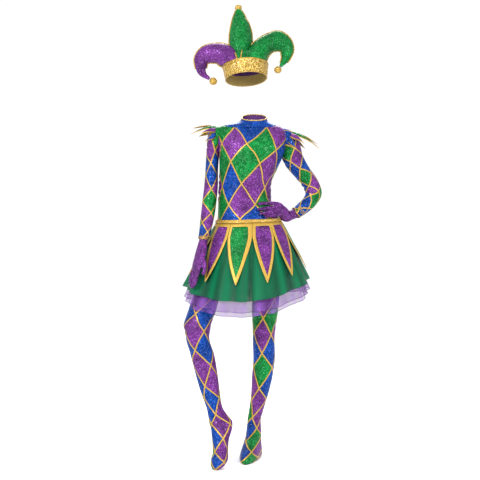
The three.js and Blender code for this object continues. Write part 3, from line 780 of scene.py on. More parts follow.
class Shader(Trees):
    """The node tree of one finish."""

    def position(self) -> bpy.types.NodeSocket:
        """Gives the place on the part, in metres."""
        return self.node("ShaderNodeTexCoord").outputs["Object"]

    def attribute(self, name: str) -> bpy.types.Node:
        """Reads one of the mesh's attributes."""
        return self.node("ShaderNodeAttribute", {"attribute_name": name})

    def value(self, name: str) -> Number:
        """Reads a number from the mesh."""
        return Number(self, self.attribute(name).outputs["Fac"])

    def split(self, vector: bpy.types.NodeSocket) -> tuple[Number, Number, Number]:
        """Takes a vector apart."""
        node = self.node("ShaderNodeSeparateXYZ", None, {0: vector})
        return tuple(Number(self, output) for output in node.outputs)

    def noise(self, grain: float, detail: float = 2.0) -> Number:
        """Gives soft noise with lumps of this many millimetres."""
        sockets = {"Vector": self.position(), "Scale": 1000 / grain, "Detail": detail}
        return Number(self, self.node("ShaderNodeTexNoise", None, sockets).outputs[0])

    def flakes(self, grain: float) -> tuple[Number, Number]:
        """Gives flakes of this many millimetres.

        Args:
            grain: The flakes' size.

        Returns:
            A number for each flake from 0 to 1, and the distance from its middle.
        """
        sockets = {"Vector": self.position(), "Scale": 1000 / grain}
        cells = self.node("ShaderNodeTexVoronoi", {"feature": "F1"}, sockets)
        parts = self.node("ShaderNodeSeparateColor", None, {0: cells.outputs["Color"]})
        return Number(self, parts.outputs[0]), Number(self, cells.outputs["Distance"])

    def blend(self, share: Any, first: Any, second: Any) -> bpy.types.NodeSocket:
        """Mixes two colours."""
        first, second = ((*c, 1.0) if isinstance(c, tuple) else c for c in (first, second))
        sockets = {0: share, 6: first, 7: second}
        return self.node("ShaderNodeMix", {"data_type": "RGBA"}, sockets).outputs[2]

    def bright(self, colour: Any, factor: Any) -> bpy.types.NodeSocket:
        """Makes a colour brighter or darker by a varying factor."""
        return self.node("ShaderNodeVectorMath", {"operation": "SCALE"}, {0: colour, 3: factor}).outputs[0]

    def steps(self, spot: Number, colours: Sequence[Any], count: int) -> bpy.types.NodeSocket:
        """Shows one of a row of plain colours.

        Args:
            spot: Where in the row, from 0 to 1.
            colours: The colours.
            count: How many colours the whole row has room for.

        Returns:
            The colour there.
        """
        ramp = self.node("ShaderNodeValToRGB", None, {0: spot})
        ramp.color_ramp.interpolation = "CONSTANT"
        elements = ramp.color_ramp.elements
        elements.remove(elements[-1])
        for i, colour in enumerate(colours):
            element = elements[0] if i == 0 else elements.new(i / count)
            element.position = i / count
            element.color = (*colour, 1.0)
        return ramp.outputs[0]

    def surface(
        self,
        colour: Any,
        roughness: Any,
        metallic: Any = 0.0,
        height: Number | None = None,
        relief: float = 0.3,
        alpha: Any = 1.0,
    ) -> None:
        """Ends the tree in one surface.

        Args:
            colour: Its base colour.
            roughness: Its roughness.
            metallic: How metallic it is.
            height: The relief that bumps it.
            relief: Millimetres for a height of 1.
            alpha: How much it covers.
        """
        sockets: dict[Any, Any] = {"Roughness": roughness, "Metallic": metallic, "Alpha": alpha}
        sockets["Base Color"] = (*colour, 1.0) if isinstance(colour, tuple) else colour
        if height is not None:
            bumped = {"Strength": 0.7, "Distance": relief / 1000, "Height": height}
            bump = self.node("ShaderNodeBump", None, bumped)
            sockets["Normal"] = bump.outputs[0]
        sockets["Specular IOR Level"] = SHINE
        node = self.node("ShaderNodeBsdfPrincipled", None, sockets)
        self.node("ShaderNodeOutputMaterial", None, {"Surface": node.outputs[0]})


# finishes


class Dye(Enum):
    """The colours of the costume."""

    PURPLE = (0.115, 0.022, 0.165)
    GREEN = (0.0, 0.142, 0.024)
    BLUE = (0.0, 0.036, 0.22)
    GOLD = (0.42, 0.26, 0.05)
    LILAC = (0.15, 0.055, 0.27)
    SEA = (0.0, 0.085, 0.034)


@dataclass(frozen=True)
class Finish:
    """A finish that a class below draws on a new material's nodes."""

    name: str

    def material(self) -> bpy.types.Material:
        """Makes the material, once."""
        name = f"finish_{self.name}"
        made = bpy.data.materials.get(name)
        if made is None:
            made = bpy.data.materials.new(name)
            made.use_nodes = True
            self.draw(Shader(made.node_tree))
        return made

    def draw(self, shader: Shader) -> None:
        """Draws the finish."""
        raise NotImplementedError


@dataclass(frozen=True)
class Foiled(Finish):
    """A finish of glittering foil on stretch knit; its sizes are millimetres."""

    coarse_flake: ClassVar[float] = 2.6
    fine_flake: ClassVar[float] = 1.6
    # the size of the soft patches of painted reflection
    reflection_patch: ClassVar[float] = 45
    wrinkles: ClassVar[float] = 15
    relief: ClassVar[float] = 0.35
    # the pale colour of the painted glints
    glint_colour: ClassVar[tuple[float, float, float]] = (0.8, 0.78, 0.92)

    def foil(
        self, shader: Shader, colour: Any, gold: Number | None = None, crumple: float = 0.0
    ) -> None:
        """Draws the foil, with gold glitter where a mask says and painted glints on its brightest flakes.

        Args:
            shader: The finish's tree.
            colour: The foil's colour.
            gold: Is 1 on the gold.
            crumple: How deep the small wrinkles are, and how dark the painted shade in their troughs is.
        """
        coarse, _ = shader.flakes(self.coarse_flake)
        fine, edge = shader.flakes(self.fine_flake)
        # painted reflection: large soft patches make the foil lighter and darker, as its reflections would
        reflection_mottle = shader.noise(self.reflection_patch, 3.0)
        bright = (0.31 + coarse * coarse * 1.15 + fine * 0.5) * (0.1 + reflection_mottle * 1.8)
        glint_flakes = (coarse * 0.6 + fine * 0.4).ramp(0.78, 0.95)
        dyed = shader.bright(colour, bright)
        # painted glint: the brightest flakes are mixed towards a pale glint colour
        dyed = shader.blend(glint_flakes * 0.2, dyed, self.glint_colour)
        roughness = 0.5 - glint_flakes * 0.2
        metallic = 0.25 + glint_flakes * 0.3
        grain = fine * 0.4 - edge * 0.3
        if gold is not None:
            gilt = shader.bright(Dye.GOLD.value, 0.62 + fine * 0.6 + coarse * 0.25)
            dyed = shader.blend(gold, dyed, gilt)
            roughness = roughness * (1 - gold) + gold * 0.42
            metallic = metallic * (1 - gold) + gold * 0.45
            height = grain + gold * 1.4
        else:
            wrinkle = abs(shader.noise(self.wrinkles, 1.0) - 0.5).ramp(0.0, 0.07)
            height = grain + wrinkle * (crumple * 4)
            # painted shade: the wrinkles' troughs are darkened, more where crumple is larger
            dyed = shader.bright(dyed, wrinkle * (0.5 * crumple) + (1 - 0.5 * crumple))
        shader.surface(dyed, roughness, metallic, height, self.relief)


@dataclass(frozen=True)
class Foil(Foiled):
    """Glittering foil of one colour, crumpled where it is worn over a hand, with painted shade in the
    wrinkles.
    """

    dye: Dye = Dye.PURPLE
    crumple: float = 0.0

    def draw(self, shader: Shader) -> None:
        """Draws the foil."""
        self.foil(shader, self.dye.value, crumple=self.crumple)


@dataclass(frozen=True)
class Bordered(Foiled):
    """Foil of one colour with a gold glitter border along its edge."""

    dye: Dye = Dye.PURPLE
    border: float = 10.0

    def draw(self, shader: Shader) -> None:
        """Draws the foil, its border and the painted shade beside the border."""
        edge = shader.value("edge") + (shader.noise(5) - 0.5) * 1.6
        gold = 1 - edge.ramp(self.border - 0.5, self.border + 0.3)
        # painted shade: the foil darkens just beside the raised gold border
        shade = edge.ramp(self.border + 0.4, self.border + 3.6) * 0.55 + 0.45
        self.foil(shader, shader.bright(self.dye.value, shade), gold)


@dataclass(frozen=True)
class Glitter(Finish):
    """Gold glitter."""

    # below 1 the glitter is darkened as painted shade, as on the leaves' undersides
    dark: float = 1.0

    def draw(self, shader: Shader) -> None:
        """Draws coarse gold flakes, with painted glints on the brightest ones."""
        flake, edge = shader.flakes(1.5)
        lump, _ = shader.flakes(4.2)
        bright = (0.42 + flake * 0.75 + lump * 0.35) * self.dark
        colour = shader.bright(Dye.GOLD.value, bright)
        glint_flakes = (flake * 0.6 + lump * 0.4).ramp(0.74, 0.92)
        # painted glint: the brightest flakes are mixed towards pale gold
        colour = shader.blend(glint_flakes * 0.5, colour, (1.0, 0.9, 0.6))
        shader.surface(colour, 0.46 - glint_flakes * 0.2, 0.5, flake * 0.7 - edge * 0.5, 0.6)


@dataclass(frozen=True)
class Brocade(Finish):
    """Gold brocade with raised scrolls."""

    def draw(self, shader: Shader) -> None:
        """Draws scrolls as bent rings over a ribbed gold ground, with painted glints on the brightest
        flakes.
        """
        where = shader.position()
        bend = {"Vector": where, "Scale": 42, "Detail": 1.0}
        bent = shader.node("ShaderNodeTexNoise", None, bend)
        moved = shader.bright(bent.outputs["Color"], 0.03)
        spot = shader.node("ShaderNodeVectorMath", {"operation": "ADD"}, {0: where, 1: moved})
        rounds = {"Vector": spot.outputs[0], "Scale": 40}
        cells = shader.node("ShaderNodeTexVoronoi", {"feature": "F1"}, rounds)
        rings = Number(shader, cells.outputs["Distance"]) * 4.4
        wave = abs(rings - rings.floor() - 0.5) * 2
        scroll = 1 - wave.ramp(0.35, 0.6)
        flake, _ = shader.flakes(1.3)
        lump, _ = shader.flakes(4.4)
        colour = shader.blend(scroll, (0.2, 0.1, 0.01), (0.62, 0.42, 0.09))
        colour = shader.bright(colour, 0.4 + flake * 0.7 + lump * 0.5)
        glint_flakes = (lump * 0.5 + flake * 0.5).ramp(0.72, 0.9)
        # painted glint: the brightest flakes are mixed towards pale gold
        colour = shader.blend(glint_flakes * 0.6, colour, (1.0, 0.92, 0.6))
        shader.surface(colour, 0.34, 0.35, scroll + flake * 0.25, 1.2)


@dataclass(frozen=True)
class Plain(Finish):
    """A plain knit or woven cloth, or smooth metal."""

    colour: tuple[float, float, float] = (0.1, 0.03, 0.16)
    roughness: float = 0.8
    metallic: float = 0.0

    def draw(self, shader: Shader) -> None:
        """Draws a fine rib with slight unevenness."""
        rough = shader.noise(2.2)
        colour = shader.bright(self.colour, 0.8 + rough * 0.4)
        shader.surface(colour, self.roughness, self.metallic, rough, 0.15)


@dataclass(frozen=True)
class Tulle(Finish):
    """Sheer tulle: more of it shows where it is gathered and at its rolled hem, and painted light and
    shade follow its folds.
    """

    dye: Dye = Dye.SEA
    cover: float = 0.6

    def draw(self, shader: Shader) -> None:
        """Draws the net's cover, its slight sheen and the painted light and shade on its folds."""
        hem = 1 - shader.value("hem").ramp(1.5, 3.5)
        fold = shader.value("fold")
        net = shader.noise(1.6, 1.0)
        cover = (self.cover + fold * 0.16 + (net - 0.5) * 0.2).most(hem * 0.95)
        # painted light and shade: the fold attribute makes the net lighter on some folds and darker on
        # others
        colour = shader.bright(self.dye.value, 0.42 + fold * 1.15 - hem * 0.3 + (net - 0.5) * 0.3)
        shader.surface(colour, 0.55, 0.0, net, 0.1, cover.least(1.0))


@dataclass(frozen=True)
class Lattice:
    """Where the diamonds' corners lie on a tube, and what colour each diamond is.

    A corner has a number p across and q down, and both grow by 1 from a diamond's middle
    to its corners. Each row gives q and p on the front's middle line at a distance, how
    much p changes from the front to the side seam, and how q tilts over the same span.
    Behind the side seams the pattern is the front's, mirrored.
    """

    rows: tuple[tuple[float, ...], ...]
    seen: tuple[tuple[int, int, str], ...]
    bow: float = 0.0
    beyond: float = 0.014
    columns: int = 5
    first_row: int = -6
    last_row: int = 11

    def corners(self, side: Array, at: Array) -> tuple[Array, Array]:
        """Gives both families of lines, which are gold where a number is whole.

        Args:
            side: From -1 at the right side seam through 0 to 1 at the left one.
            at: Distances down the tube.

        Returns:
            The numbers of the two families.
        """
        knots = np.array(self.rows, float)
        q, p, slope, tilt = (np.interp(at, knots[:, 0], knots[:, i]) for i in range(1, 5))
        past = np.minimum(at - knots[0, 0], 0) + np.maximum(at - knots[-1, 0], 0)
        down = q + self.beyond * past + tilt * side + self.bow * side * side
        across = p + slope * side
        return (down + across) / 2, (down - across) / 2

    def colours(self) -> list[Dye]:
        """Lists the colour of every diamond, row by row."""
        letters = {"P": Dye.PURPLE, "B": Dye.BLUE, "G": Dye.GREEN}
        known = {}
        for q, first, text in self.seen:
            for i, letter in enumerate(text):
                known[first + 2 * i, q] = letters[letter]
        found = []
        for q in range(self.first_row, self.last_row + 1):
            for column in range(self.columns):
                p = 2 * column - 4 + (1 if (q % 2) == 0 else 0)
                plain = "PBG"[((q - 1 - p) // 2 + 2 * ((q - 1 + p) // 2)) % 3]
                found.append(known.get((p, q), letters[plain]))
        return found


@dataclass(frozen=True)
class Harlequin(Foiled):
    """Foil diamonds between gold lines, with painted shade along the lines."""

    lattice: Lattice | None = None
    line: float = 5.6
    stops: ClassVar[int] = 32

    def draw(self, shader: Shader) -> None:
        """Draws the diamonds from the mesh's lattice numbers."""
        first, second, _ = shader.split(shader.attribute("lattice").outputs["Vector"])
        wide_first, wide_second, _ = shader.split(shader.attribute("pitch").outputs["Vector"])
        away = (abs(first - (first + 0.5).floor()) * wide_first).least(
            abs(second - (second + 0.5).floor()) * wide_second
        )
        away = away + (shader.noise(5) - 0.5) * 0.8
        half = self.line / 2
        gold = 1 - away.ramp(half - 0.5, half + 0.4)
        # painted shade: the foil darkens just beside the raised gold lines
        shade = away.ramp(half + 0.2, half + 2.4) * 0.55 + 0.45
        self.foil(shader, shader.bright(self.chart(shader, first, second), shade), gold)

    def chart(self, shader: Shader, first: Number, second: Number) -> bpy.types.NodeSocket:
        """Looks up the colour of the diamond.

        Args:
            shader: The finish's tree.
            first: One family's numbers.
            second: The other family's numbers.

        Returns:
            The colour.
        """
        plan = self.lattice
        u, v = first.floor(), second.floor()
        row = (u + v + (1 - plan.first_row)).most(0).least(plan.last_row - plan.first_row)
        column = ((u - v + 4) / 2).floor().most(0).least(plan.columns - 1)
        index = row * plan.columns + column
        colours = plan.colours()
        result: Any = None
        for start in range(0, len(colours), self.stops):
            part = colours[start : start + self.stops]
            spot = (index - start + 0.5) / self.stops
            shown = shader.steps(spot, [dye.value for dye in part], self.stops)
            result = shown if result is None else shader.blend(index > (start - 0.5), result, shown)
        return result


TRUNK_LATTICE = Lattice(
    (
        (0, -1.5, -0.15, 3.3, 0),
        (40, -0.955, -0.03, 3.33, 0),
        (75, -0.5, 0.15, 3.4, -0.3),
        (113, -0.03, 0.27, 3.5, -0.45),
        (191, 1, 0.38, 3.5, -0.3),
        (282, 2, 0.22, 3.5, -0.14),
        (369, 3.03, 0.32, 3.5, -0.05),
        (426, 3.95, 0.5, 3.5, 0),
        (628, 7.3, 0.5, 3.5, 0),
    ),
    ((-1, -2, "GBP"), (0, -1, "PGB"), (1, -2, "GGP"), (2, -3, "PBPP"), (3, -2, "GPG"), (4, -1, "BB")),
    bow=-0.5,
)
ARM_RIGHT_LATTICE = Lattice(
    (
        (0, -2.2, 0.9, 1.6, 0),
        (95, -1, 0.68, 1.6, 0),
        (146, 0, 0.17, 1.6, 0),
        (198, 1, -0.04, 1.5, 0),
        (257, 2, -0.1, 1.3, 0),
        (308, 3, -0.15, 1.15, 0),
        (359, 4, -0.4, 1.3, 0),
        (398, 5, -0.43, 1.3, 0),
        (437, 6, -0.38, 1.3, 0),
        (495, 7.4, -0.4, 1.3, 0),
    ),
    (
        (-1, 0, "PP"),
        (0, -1, "BB"),
        (1, 0, "B"),
        (2, -1, "PP"),
        (3, 0, "G"),
        (4, -1, "PG"),
        (5, 0, "P"),
        (6, -1, "BB"),
    ),
)
ARM_LEFT_LATTICE = Lattice(
    (
        (0, -3, 0.6, 1.9, 0.5),
        (76, -1.06, 0.6, 1.9, 0.4),
        (124, 0.1, 0.42, 1.7, 0.3),
        (168, 1, 1.0, 1.7, 0.1),
        (215, 2.1, 1.07, 1.63, 0),
        (260, 3, 1.4, 1.6, -0.2),
        (293, 4.1, 1.4, 1.6, -0.3),
        (340, 5.3, 1.4, 1.6, -0.3),
        (456, 8, 1.4, 1.6, -0.3),
    ),
    (
        (-2, 1, "B"),
        (-1, 0, "GP"),
        (0, -1, "BP"),
        (1, 0, "BB"),
        (2, 1, "G"),
        (3, 0, "BP"),
        (4, 1, "PG"),
        (5, 0, "BG"),
        (6, 1, "BB"),
        (7, 0, "BB"),
    ),
    bow=-0.4,
)
LEG_RIGHT_LATTICE = Lattice(
    (
        (0, -4.4, 0.5, 1.6, 0),
        (396, 0.96, 0.4, 1.6, 0),
        (474, 1.98, 0.45, 1.6, 0),
        (536, 2.96, 0.39, 1.6, 0),
        (621, 3.98, 0.36, 1.6, 0),
        (672, 4.89, -0.05, 1.65, 0),
        (737, 6, 0.1, 1.75, 0),
        (775, 6.9, 0.04, 1.75, 0),
        (829, 8, -0.3, 1.6, 0),
        (877, 8.95, -0.2, 1.6, 0),
        (911, 9.95, -0.65, 1.6, 0),
        (941, 10.9, -0.7, 1.6, 0),
    ),
    (
        (0, 1, "B"),
        (1, 0, "PP"),
        (2, -1, "BB"),
        (3, 0, "PP"),
        (4, -1, "BP"),
        (5, 0, "BG"),
        (6, -1, "BP"),
        (7, 0, "PP"),
        (8, -1, "BP"),
        (9, 0, "P"),
        (10, -1, "BP"),
    ),
    bow=0.25,
)
LEG_LEFT_LATTICE = Lattice(
    (
        (0, -4.6, 0.2, 2, 0),
        (353, 0, 0.17, 1.9, 0),
        (420, 0.9, 0.23, 1.79, 0),
        (503, 2, 0.23, 1.7, 0),
        (568, 2.9, 0.11, 1.5, 0),
        (656, 4, 0.2, 1.5, 0),
        (708, 4.85, -0.05, 1.45, 0),
        (782, 6, 0.25, 1.6, 0),
        (866, 7.85, 0.5, 1.4, 0),
        (900, 8.96, 0.35, 1.8, 0),
        (944, 10.2, 0.6, 2, 0),
    ),
    (
        (0, -1, "GG"),
        (1, 0, "PP"),
        (2, -1, "BB"),
        (3, 0, "GB"),
        (4, -1, "PB"),
        (5, 0, "P"),
        (6, -1, "GP"),
        (7, 0, "BP"),
        (8, 1, "GP"),
        (9, 0, "BP"),
        (10, 1, "G"),
        (11, 0, "G"),
    ),
    bow=0.3,
)
LATTICE_TOP = 1446
LINING = Plain("lining_knit", (0.09, 0.03, 0.14), 0.85)
GOLD_CLOTH = Glitter("gold_glitter")


def diamonds(
    tube: Tube, plan: Lattice, angle: Array, at: Array, down: Array, side: Array
) -> dict[str, Array]:
    """Works out the lattice numbers of a grid of points, and how wide a diamond is there.

    Args:
        tube: The tube that the points lie on.
        plan: The piece's lattice.
        angle: The points' angles.
        at: Their stations.
        down: Their distances in the lattice's own table.
        side: How far each lies towards a side seam, from -1 to 1.

    Returns:
        The attributes that the finish reads.
    """
    first, second = plan.corners(side, down)
    step, turn = 2.0, 2.0 / 60
    turned = tube.point(angle + turn, at) - tube.point(angle, at)
    lower = tube.point(angle, at + step) - tube.point(angle, at)
    uu, uv = (turned * turned).sum(-1), (turned * lower).sum(-1)
    vv = (lower * lower).sum(-1)
    det = np.maximum(uu * vv - uv * uv, 1e-6)
    folded = np.where(np.cos(angle) >= 0, 1.0, -1.0)
    pitches = []
    change = plan.corners(side + folded * turn / (math.pi / 2), down)
    lowered = plan.corners(side, down + step)
    for here, across, below in zip((first, second), change, lowered):
        a, b = across - here, below - here
        steep = np.sqrt(np.maximum((a * a * vv - 2 * a * b * uv + b * b * uu) / det, 1e-8))
        pitches.append(np.clip(1 / steep, 12, 130))
    zero = np.zeros_like(first)
    return {"lattice": np.stack([first, second, zero], -1), "pitch": np.stack([*pitches, zero], -1)}


def folded_side(angle: Array) -> Array:
    """Turns an angle into -1 to 1 from side seam to side seam, mirrored behind them."""
    wrapped = (angle + math.pi) % (2 * math.pi) - math.pi
    side = wrapped / (math.pi / 2)
    return np.where(np.abs(side) <= 1, side, np.sign(side) * (2 - np.abs(side)))


# trims made by rules


class Trims(Trees):
    """A Geometry Nodes tree with named inputs, which ends in real faces with a material."""

    def __init__(self, name: str, sizes: dict[str, float | int]) -> None:
        """Starts the tree.

        Args:
            name: The tree's name.
            sizes: The named inputs and their values.
        """
        super().__init__(bpy.data.node_groups.new(name, "GeometryNodeTree"))
        face = self.tree.interface
        face.new_socket("Geometry", in_out="INPUT", socket_type="NodeSocketGeometry")
        face.new_socket("Geometry", in_out="OUTPUT", socket_type="NodeSocketGeometry")
        self.keys: dict[str, str] = {}
        self.sizes = sizes
        for label, value in sizes.items():
            kind = "NodeSocketInt" if isinstance(value, int) else "NodeSocketFloat"
            self.keys[label] = face.new_socket(label, in_out="INPUT", socket_type=kind).identifier
        self.source = self.node("NodeGroupInput")

    def finish(self, geometry: bpy.types.NodeSocket, material: bpy.types.Material) -> None:
        """Ends the tree.

        Args:
            geometry: What it has made.
            material: The material of all of it.
        """
        smoothed = self.node("GeometryNodeSetShadeSmooth", None, {0: geometry})
        real = self.node("GeometryNodeRealizeInstances", None, {0: smoothed.outputs[0]})
        dyes = {"Geometry": real.outputs[0], "Material": material}
        dyed = self.node("GeometryNodeSetMaterial", None, dyes)
        self.node("NodeGroupOutput", None, {0: dyed.outputs[0]})

    def strew(
        self,
        points: bpy.types.NodeSocket,
        shape: bpy.types.Node,
        turn: bpy.types.NodeSocket,
        finish: Finish,
    ) -> None:
        """Lays a shape on points and ends the tree.

        Args:
            points: Where.
            shape: The node that makes the shape.
            turn: How each is turned.
            finish: The finish of all of it.
        """
        laid = {"Points": points, "Instance": shape.outputs[0], "Rotation": turn}
        strewn = self.node("GeometryNodeInstanceOnPoints", None, laid)
        self.finish(strewn.outputs[0], finish.material())

    def apply(self, thing: bpy.types.Object, name: str) -> bpy.types.Object:
        """Runs the tree on an object and keeps the result as a plain mesh.

        Args:
            thing: The object, which is removed.
            name: The new piece's name.

        Returns:
            The new piece.
        """
        modifier = thing.modifiers.new("trim", "NODES")
        modifier.node_group = self.tree
        for label, value in self.sizes.items():
            modifier[self.keys[label]] = value
        mesh = baked(thing)
        bpy.data.objects.remove(thing)
        mesh.name = name
        return add_object(name, mesh)


def path_object(paths: Sequence[Array], cyclic: bool) -> bpy.types.Object:
    """Makes one curve object of the paths.

    Args:
        paths: Points of each path, in floor millimetres.
        cyclic: Whether each path closes on itself.

    Returns:
        The curve object.
    """
    curve = bpy.data.curves.new("path", "CURVE")
    curve.dimensions = "3D"
    for path in paths:
        spline = curve.splines.new("POLY")
        spline.points.add(len(path) - 1)
        spots = place(path)
        spline.points.foreach_set("co", np.hstack([spots, np.ones((len(path), 1))]).ravel())
        spline.use_cyclic_u = cyclic
    return add_object("path", curve)


def piping(
    name: str, paths: Sequence[Array], radius: float, finish: Finish, cyclic: bool = False
) -> bpy.types.Object:
    """Lays a round cord of cloth along paths.

    Args:
        name: The piece's name.
        paths: Points of each path, in floor millimetres.
        radius: The cord's radius.
        finish: Its finish.
        cyclic: Whether each path closes on itself.

    Returns:
        The piece.
    """
    trims = Trims(f"{name}_tree", {"Radius": radius / 1000, "Step": 0.004, "Sides": 8})
    size = {output.name: output for output in trims.source.outputs}
    steps = {"Curve": size["Geometry"], "Length": size["Step"]}
    even = trims.node("GeometryNodeResampleCurve", {"mode": "LENGTH"}, steps)
    sides = {"Resolution": size["Sides"], "Radius": size["Radius"]}
    ring = trims.node("GeometryNodeCurvePrimitiveCircle", None, sides)
    swept = {"Curve": even.outputs[0], "Profile Curve": ring.outputs[0], "Fill Caps": True}
    tube = trims.node("GeometryNodeCurveToMesh", None, swept)
    trims.finish(tube.outputs[0], finish.material())
    return trims.apply(path_object(paths, cyclic), name)


def stitches(
    name: str, paths: Sequence[Array], spacing: float, long: float, finish: Finish
) -> bpy.types.Object:
    """Sews a row of stitches along paths.

    Args:
        name: The piece's name.
        paths: Points of each path, in floor millimetres.
        spacing: From one stitch to the next.
        long: A stitch's length.
        finish: The thread's finish.

    Returns:
        The piece.
    """
    sizes = {"Spacing": spacing / 1000, "Long": long / 1000, "Thick": 0.00055, "Sides": 5}
    trims = Trims(f"{name}_tree", sizes)
    size = {output.name: output for output in trims.source.outputs}
    steps = {"Curve": size["Geometry"], "Length": size["Spacing"]}
    spots = trims.node("GeometryNodeCurveToPoints", {"mode": "LENGTH"}, steps)
    shape = {"Vertices": size["Sides"], "Radius": size["Thick"], "Depth": size["Long"]}
    thread = trims.node("GeometryNodeMeshCylinder", None, shape)
    along = {"Vector": spots.outputs["Tangent"]}
    turn = trims.node("FunctionNodeAlignRotationToVector", {"axis": "Z"}, along)
    trims.strew(spots.outputs[0], thread, turn.outputs[0], finish)
    return trims.apply(path_object(paths, False), name)


def sequins(
    name: str, ground: bpy.types.Object, gap: float, radius: float, finish: Finish
) -> bpy.types.Object:
    """Strews small discs over a copy of a piece's faces.

    Args:
        name: The piece's name.
        ground: The piece whose faces carry them.
        gap: The least distance between two discs.
        radius: A disc's radius.
        finish: Its finish.

    Returns:
        The piece.
    """
    sizes = {"Gap": gap / 1000, "Radius": radius / 1000, "Thick": 0.0006, "Sides": 7, "Seed": 7}
    trims = Trims(f"{name}_tree", sizes)
    size = {output.name: output for output in trims.source.outputs}
    spread = {"Mesh": size["Geometry"], "Distance Min": size["Gap"], "Seed": size["Seed"]}
    spread["Density Max"] = 90000.0
    even = {"distribute_method": "POISSON"}
    spots = trims.node("GeometryNodeDistributePointsOnFaces", even, spread)
    shape = {"Vertices": size["Sides"], "Radius": size["Radius"], "Depth": size["Thick"]}
    disc = trims.node("GeometryNodeMeshCylinder", None, shape)
    trims.strew(spots.outputs[0], disc, spots.outputs["Rotation"], finish)
    return trims.apply(add_object("ground", ground.data.copy()), name)


# pieces and how they are dressed


@dataclass(frozen=True)
class Cut:
    """The flat piece that a sheet was cut to, in metres, and how it is held."""

    wide: float
    long: float
    area: float
    held: str = "stretched"
    rests_on: tuple[str, ...] = ()


def dress(
    piece: bpy.types.Object, nodes: Sequence[str] = ()
) -> bpy.types.Object:
    """Ties a finished piece to the frame and reports it.

    Args:
        piece: The piece.
        nodes: The CAD nodes that it stands for.

    Returns:
        The piece.
    """
    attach(piece, "root")
    if nodes:
        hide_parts(*nodes)
    log.info("%s: %d points", piece.name, len(piece.data.vertices))
    return piece


def round_angles(count: int) -> Array:
    """Gives angles all round a tube, with one at the front, the back and each side."""
    return np.arange(count) * 2 * math.pi / count


def face_middles(points: Array, closed: bool) -> Array:
    """Gives the middle of each face of a grid of points."""
    turned = np.roll(points, -1, axis=1) if closed else points[:, 1:]
    here = points if closed else points[:, :-1]
    return (here[:-1] + here[1:] + turned[:-1] + turned[1:]) / 4


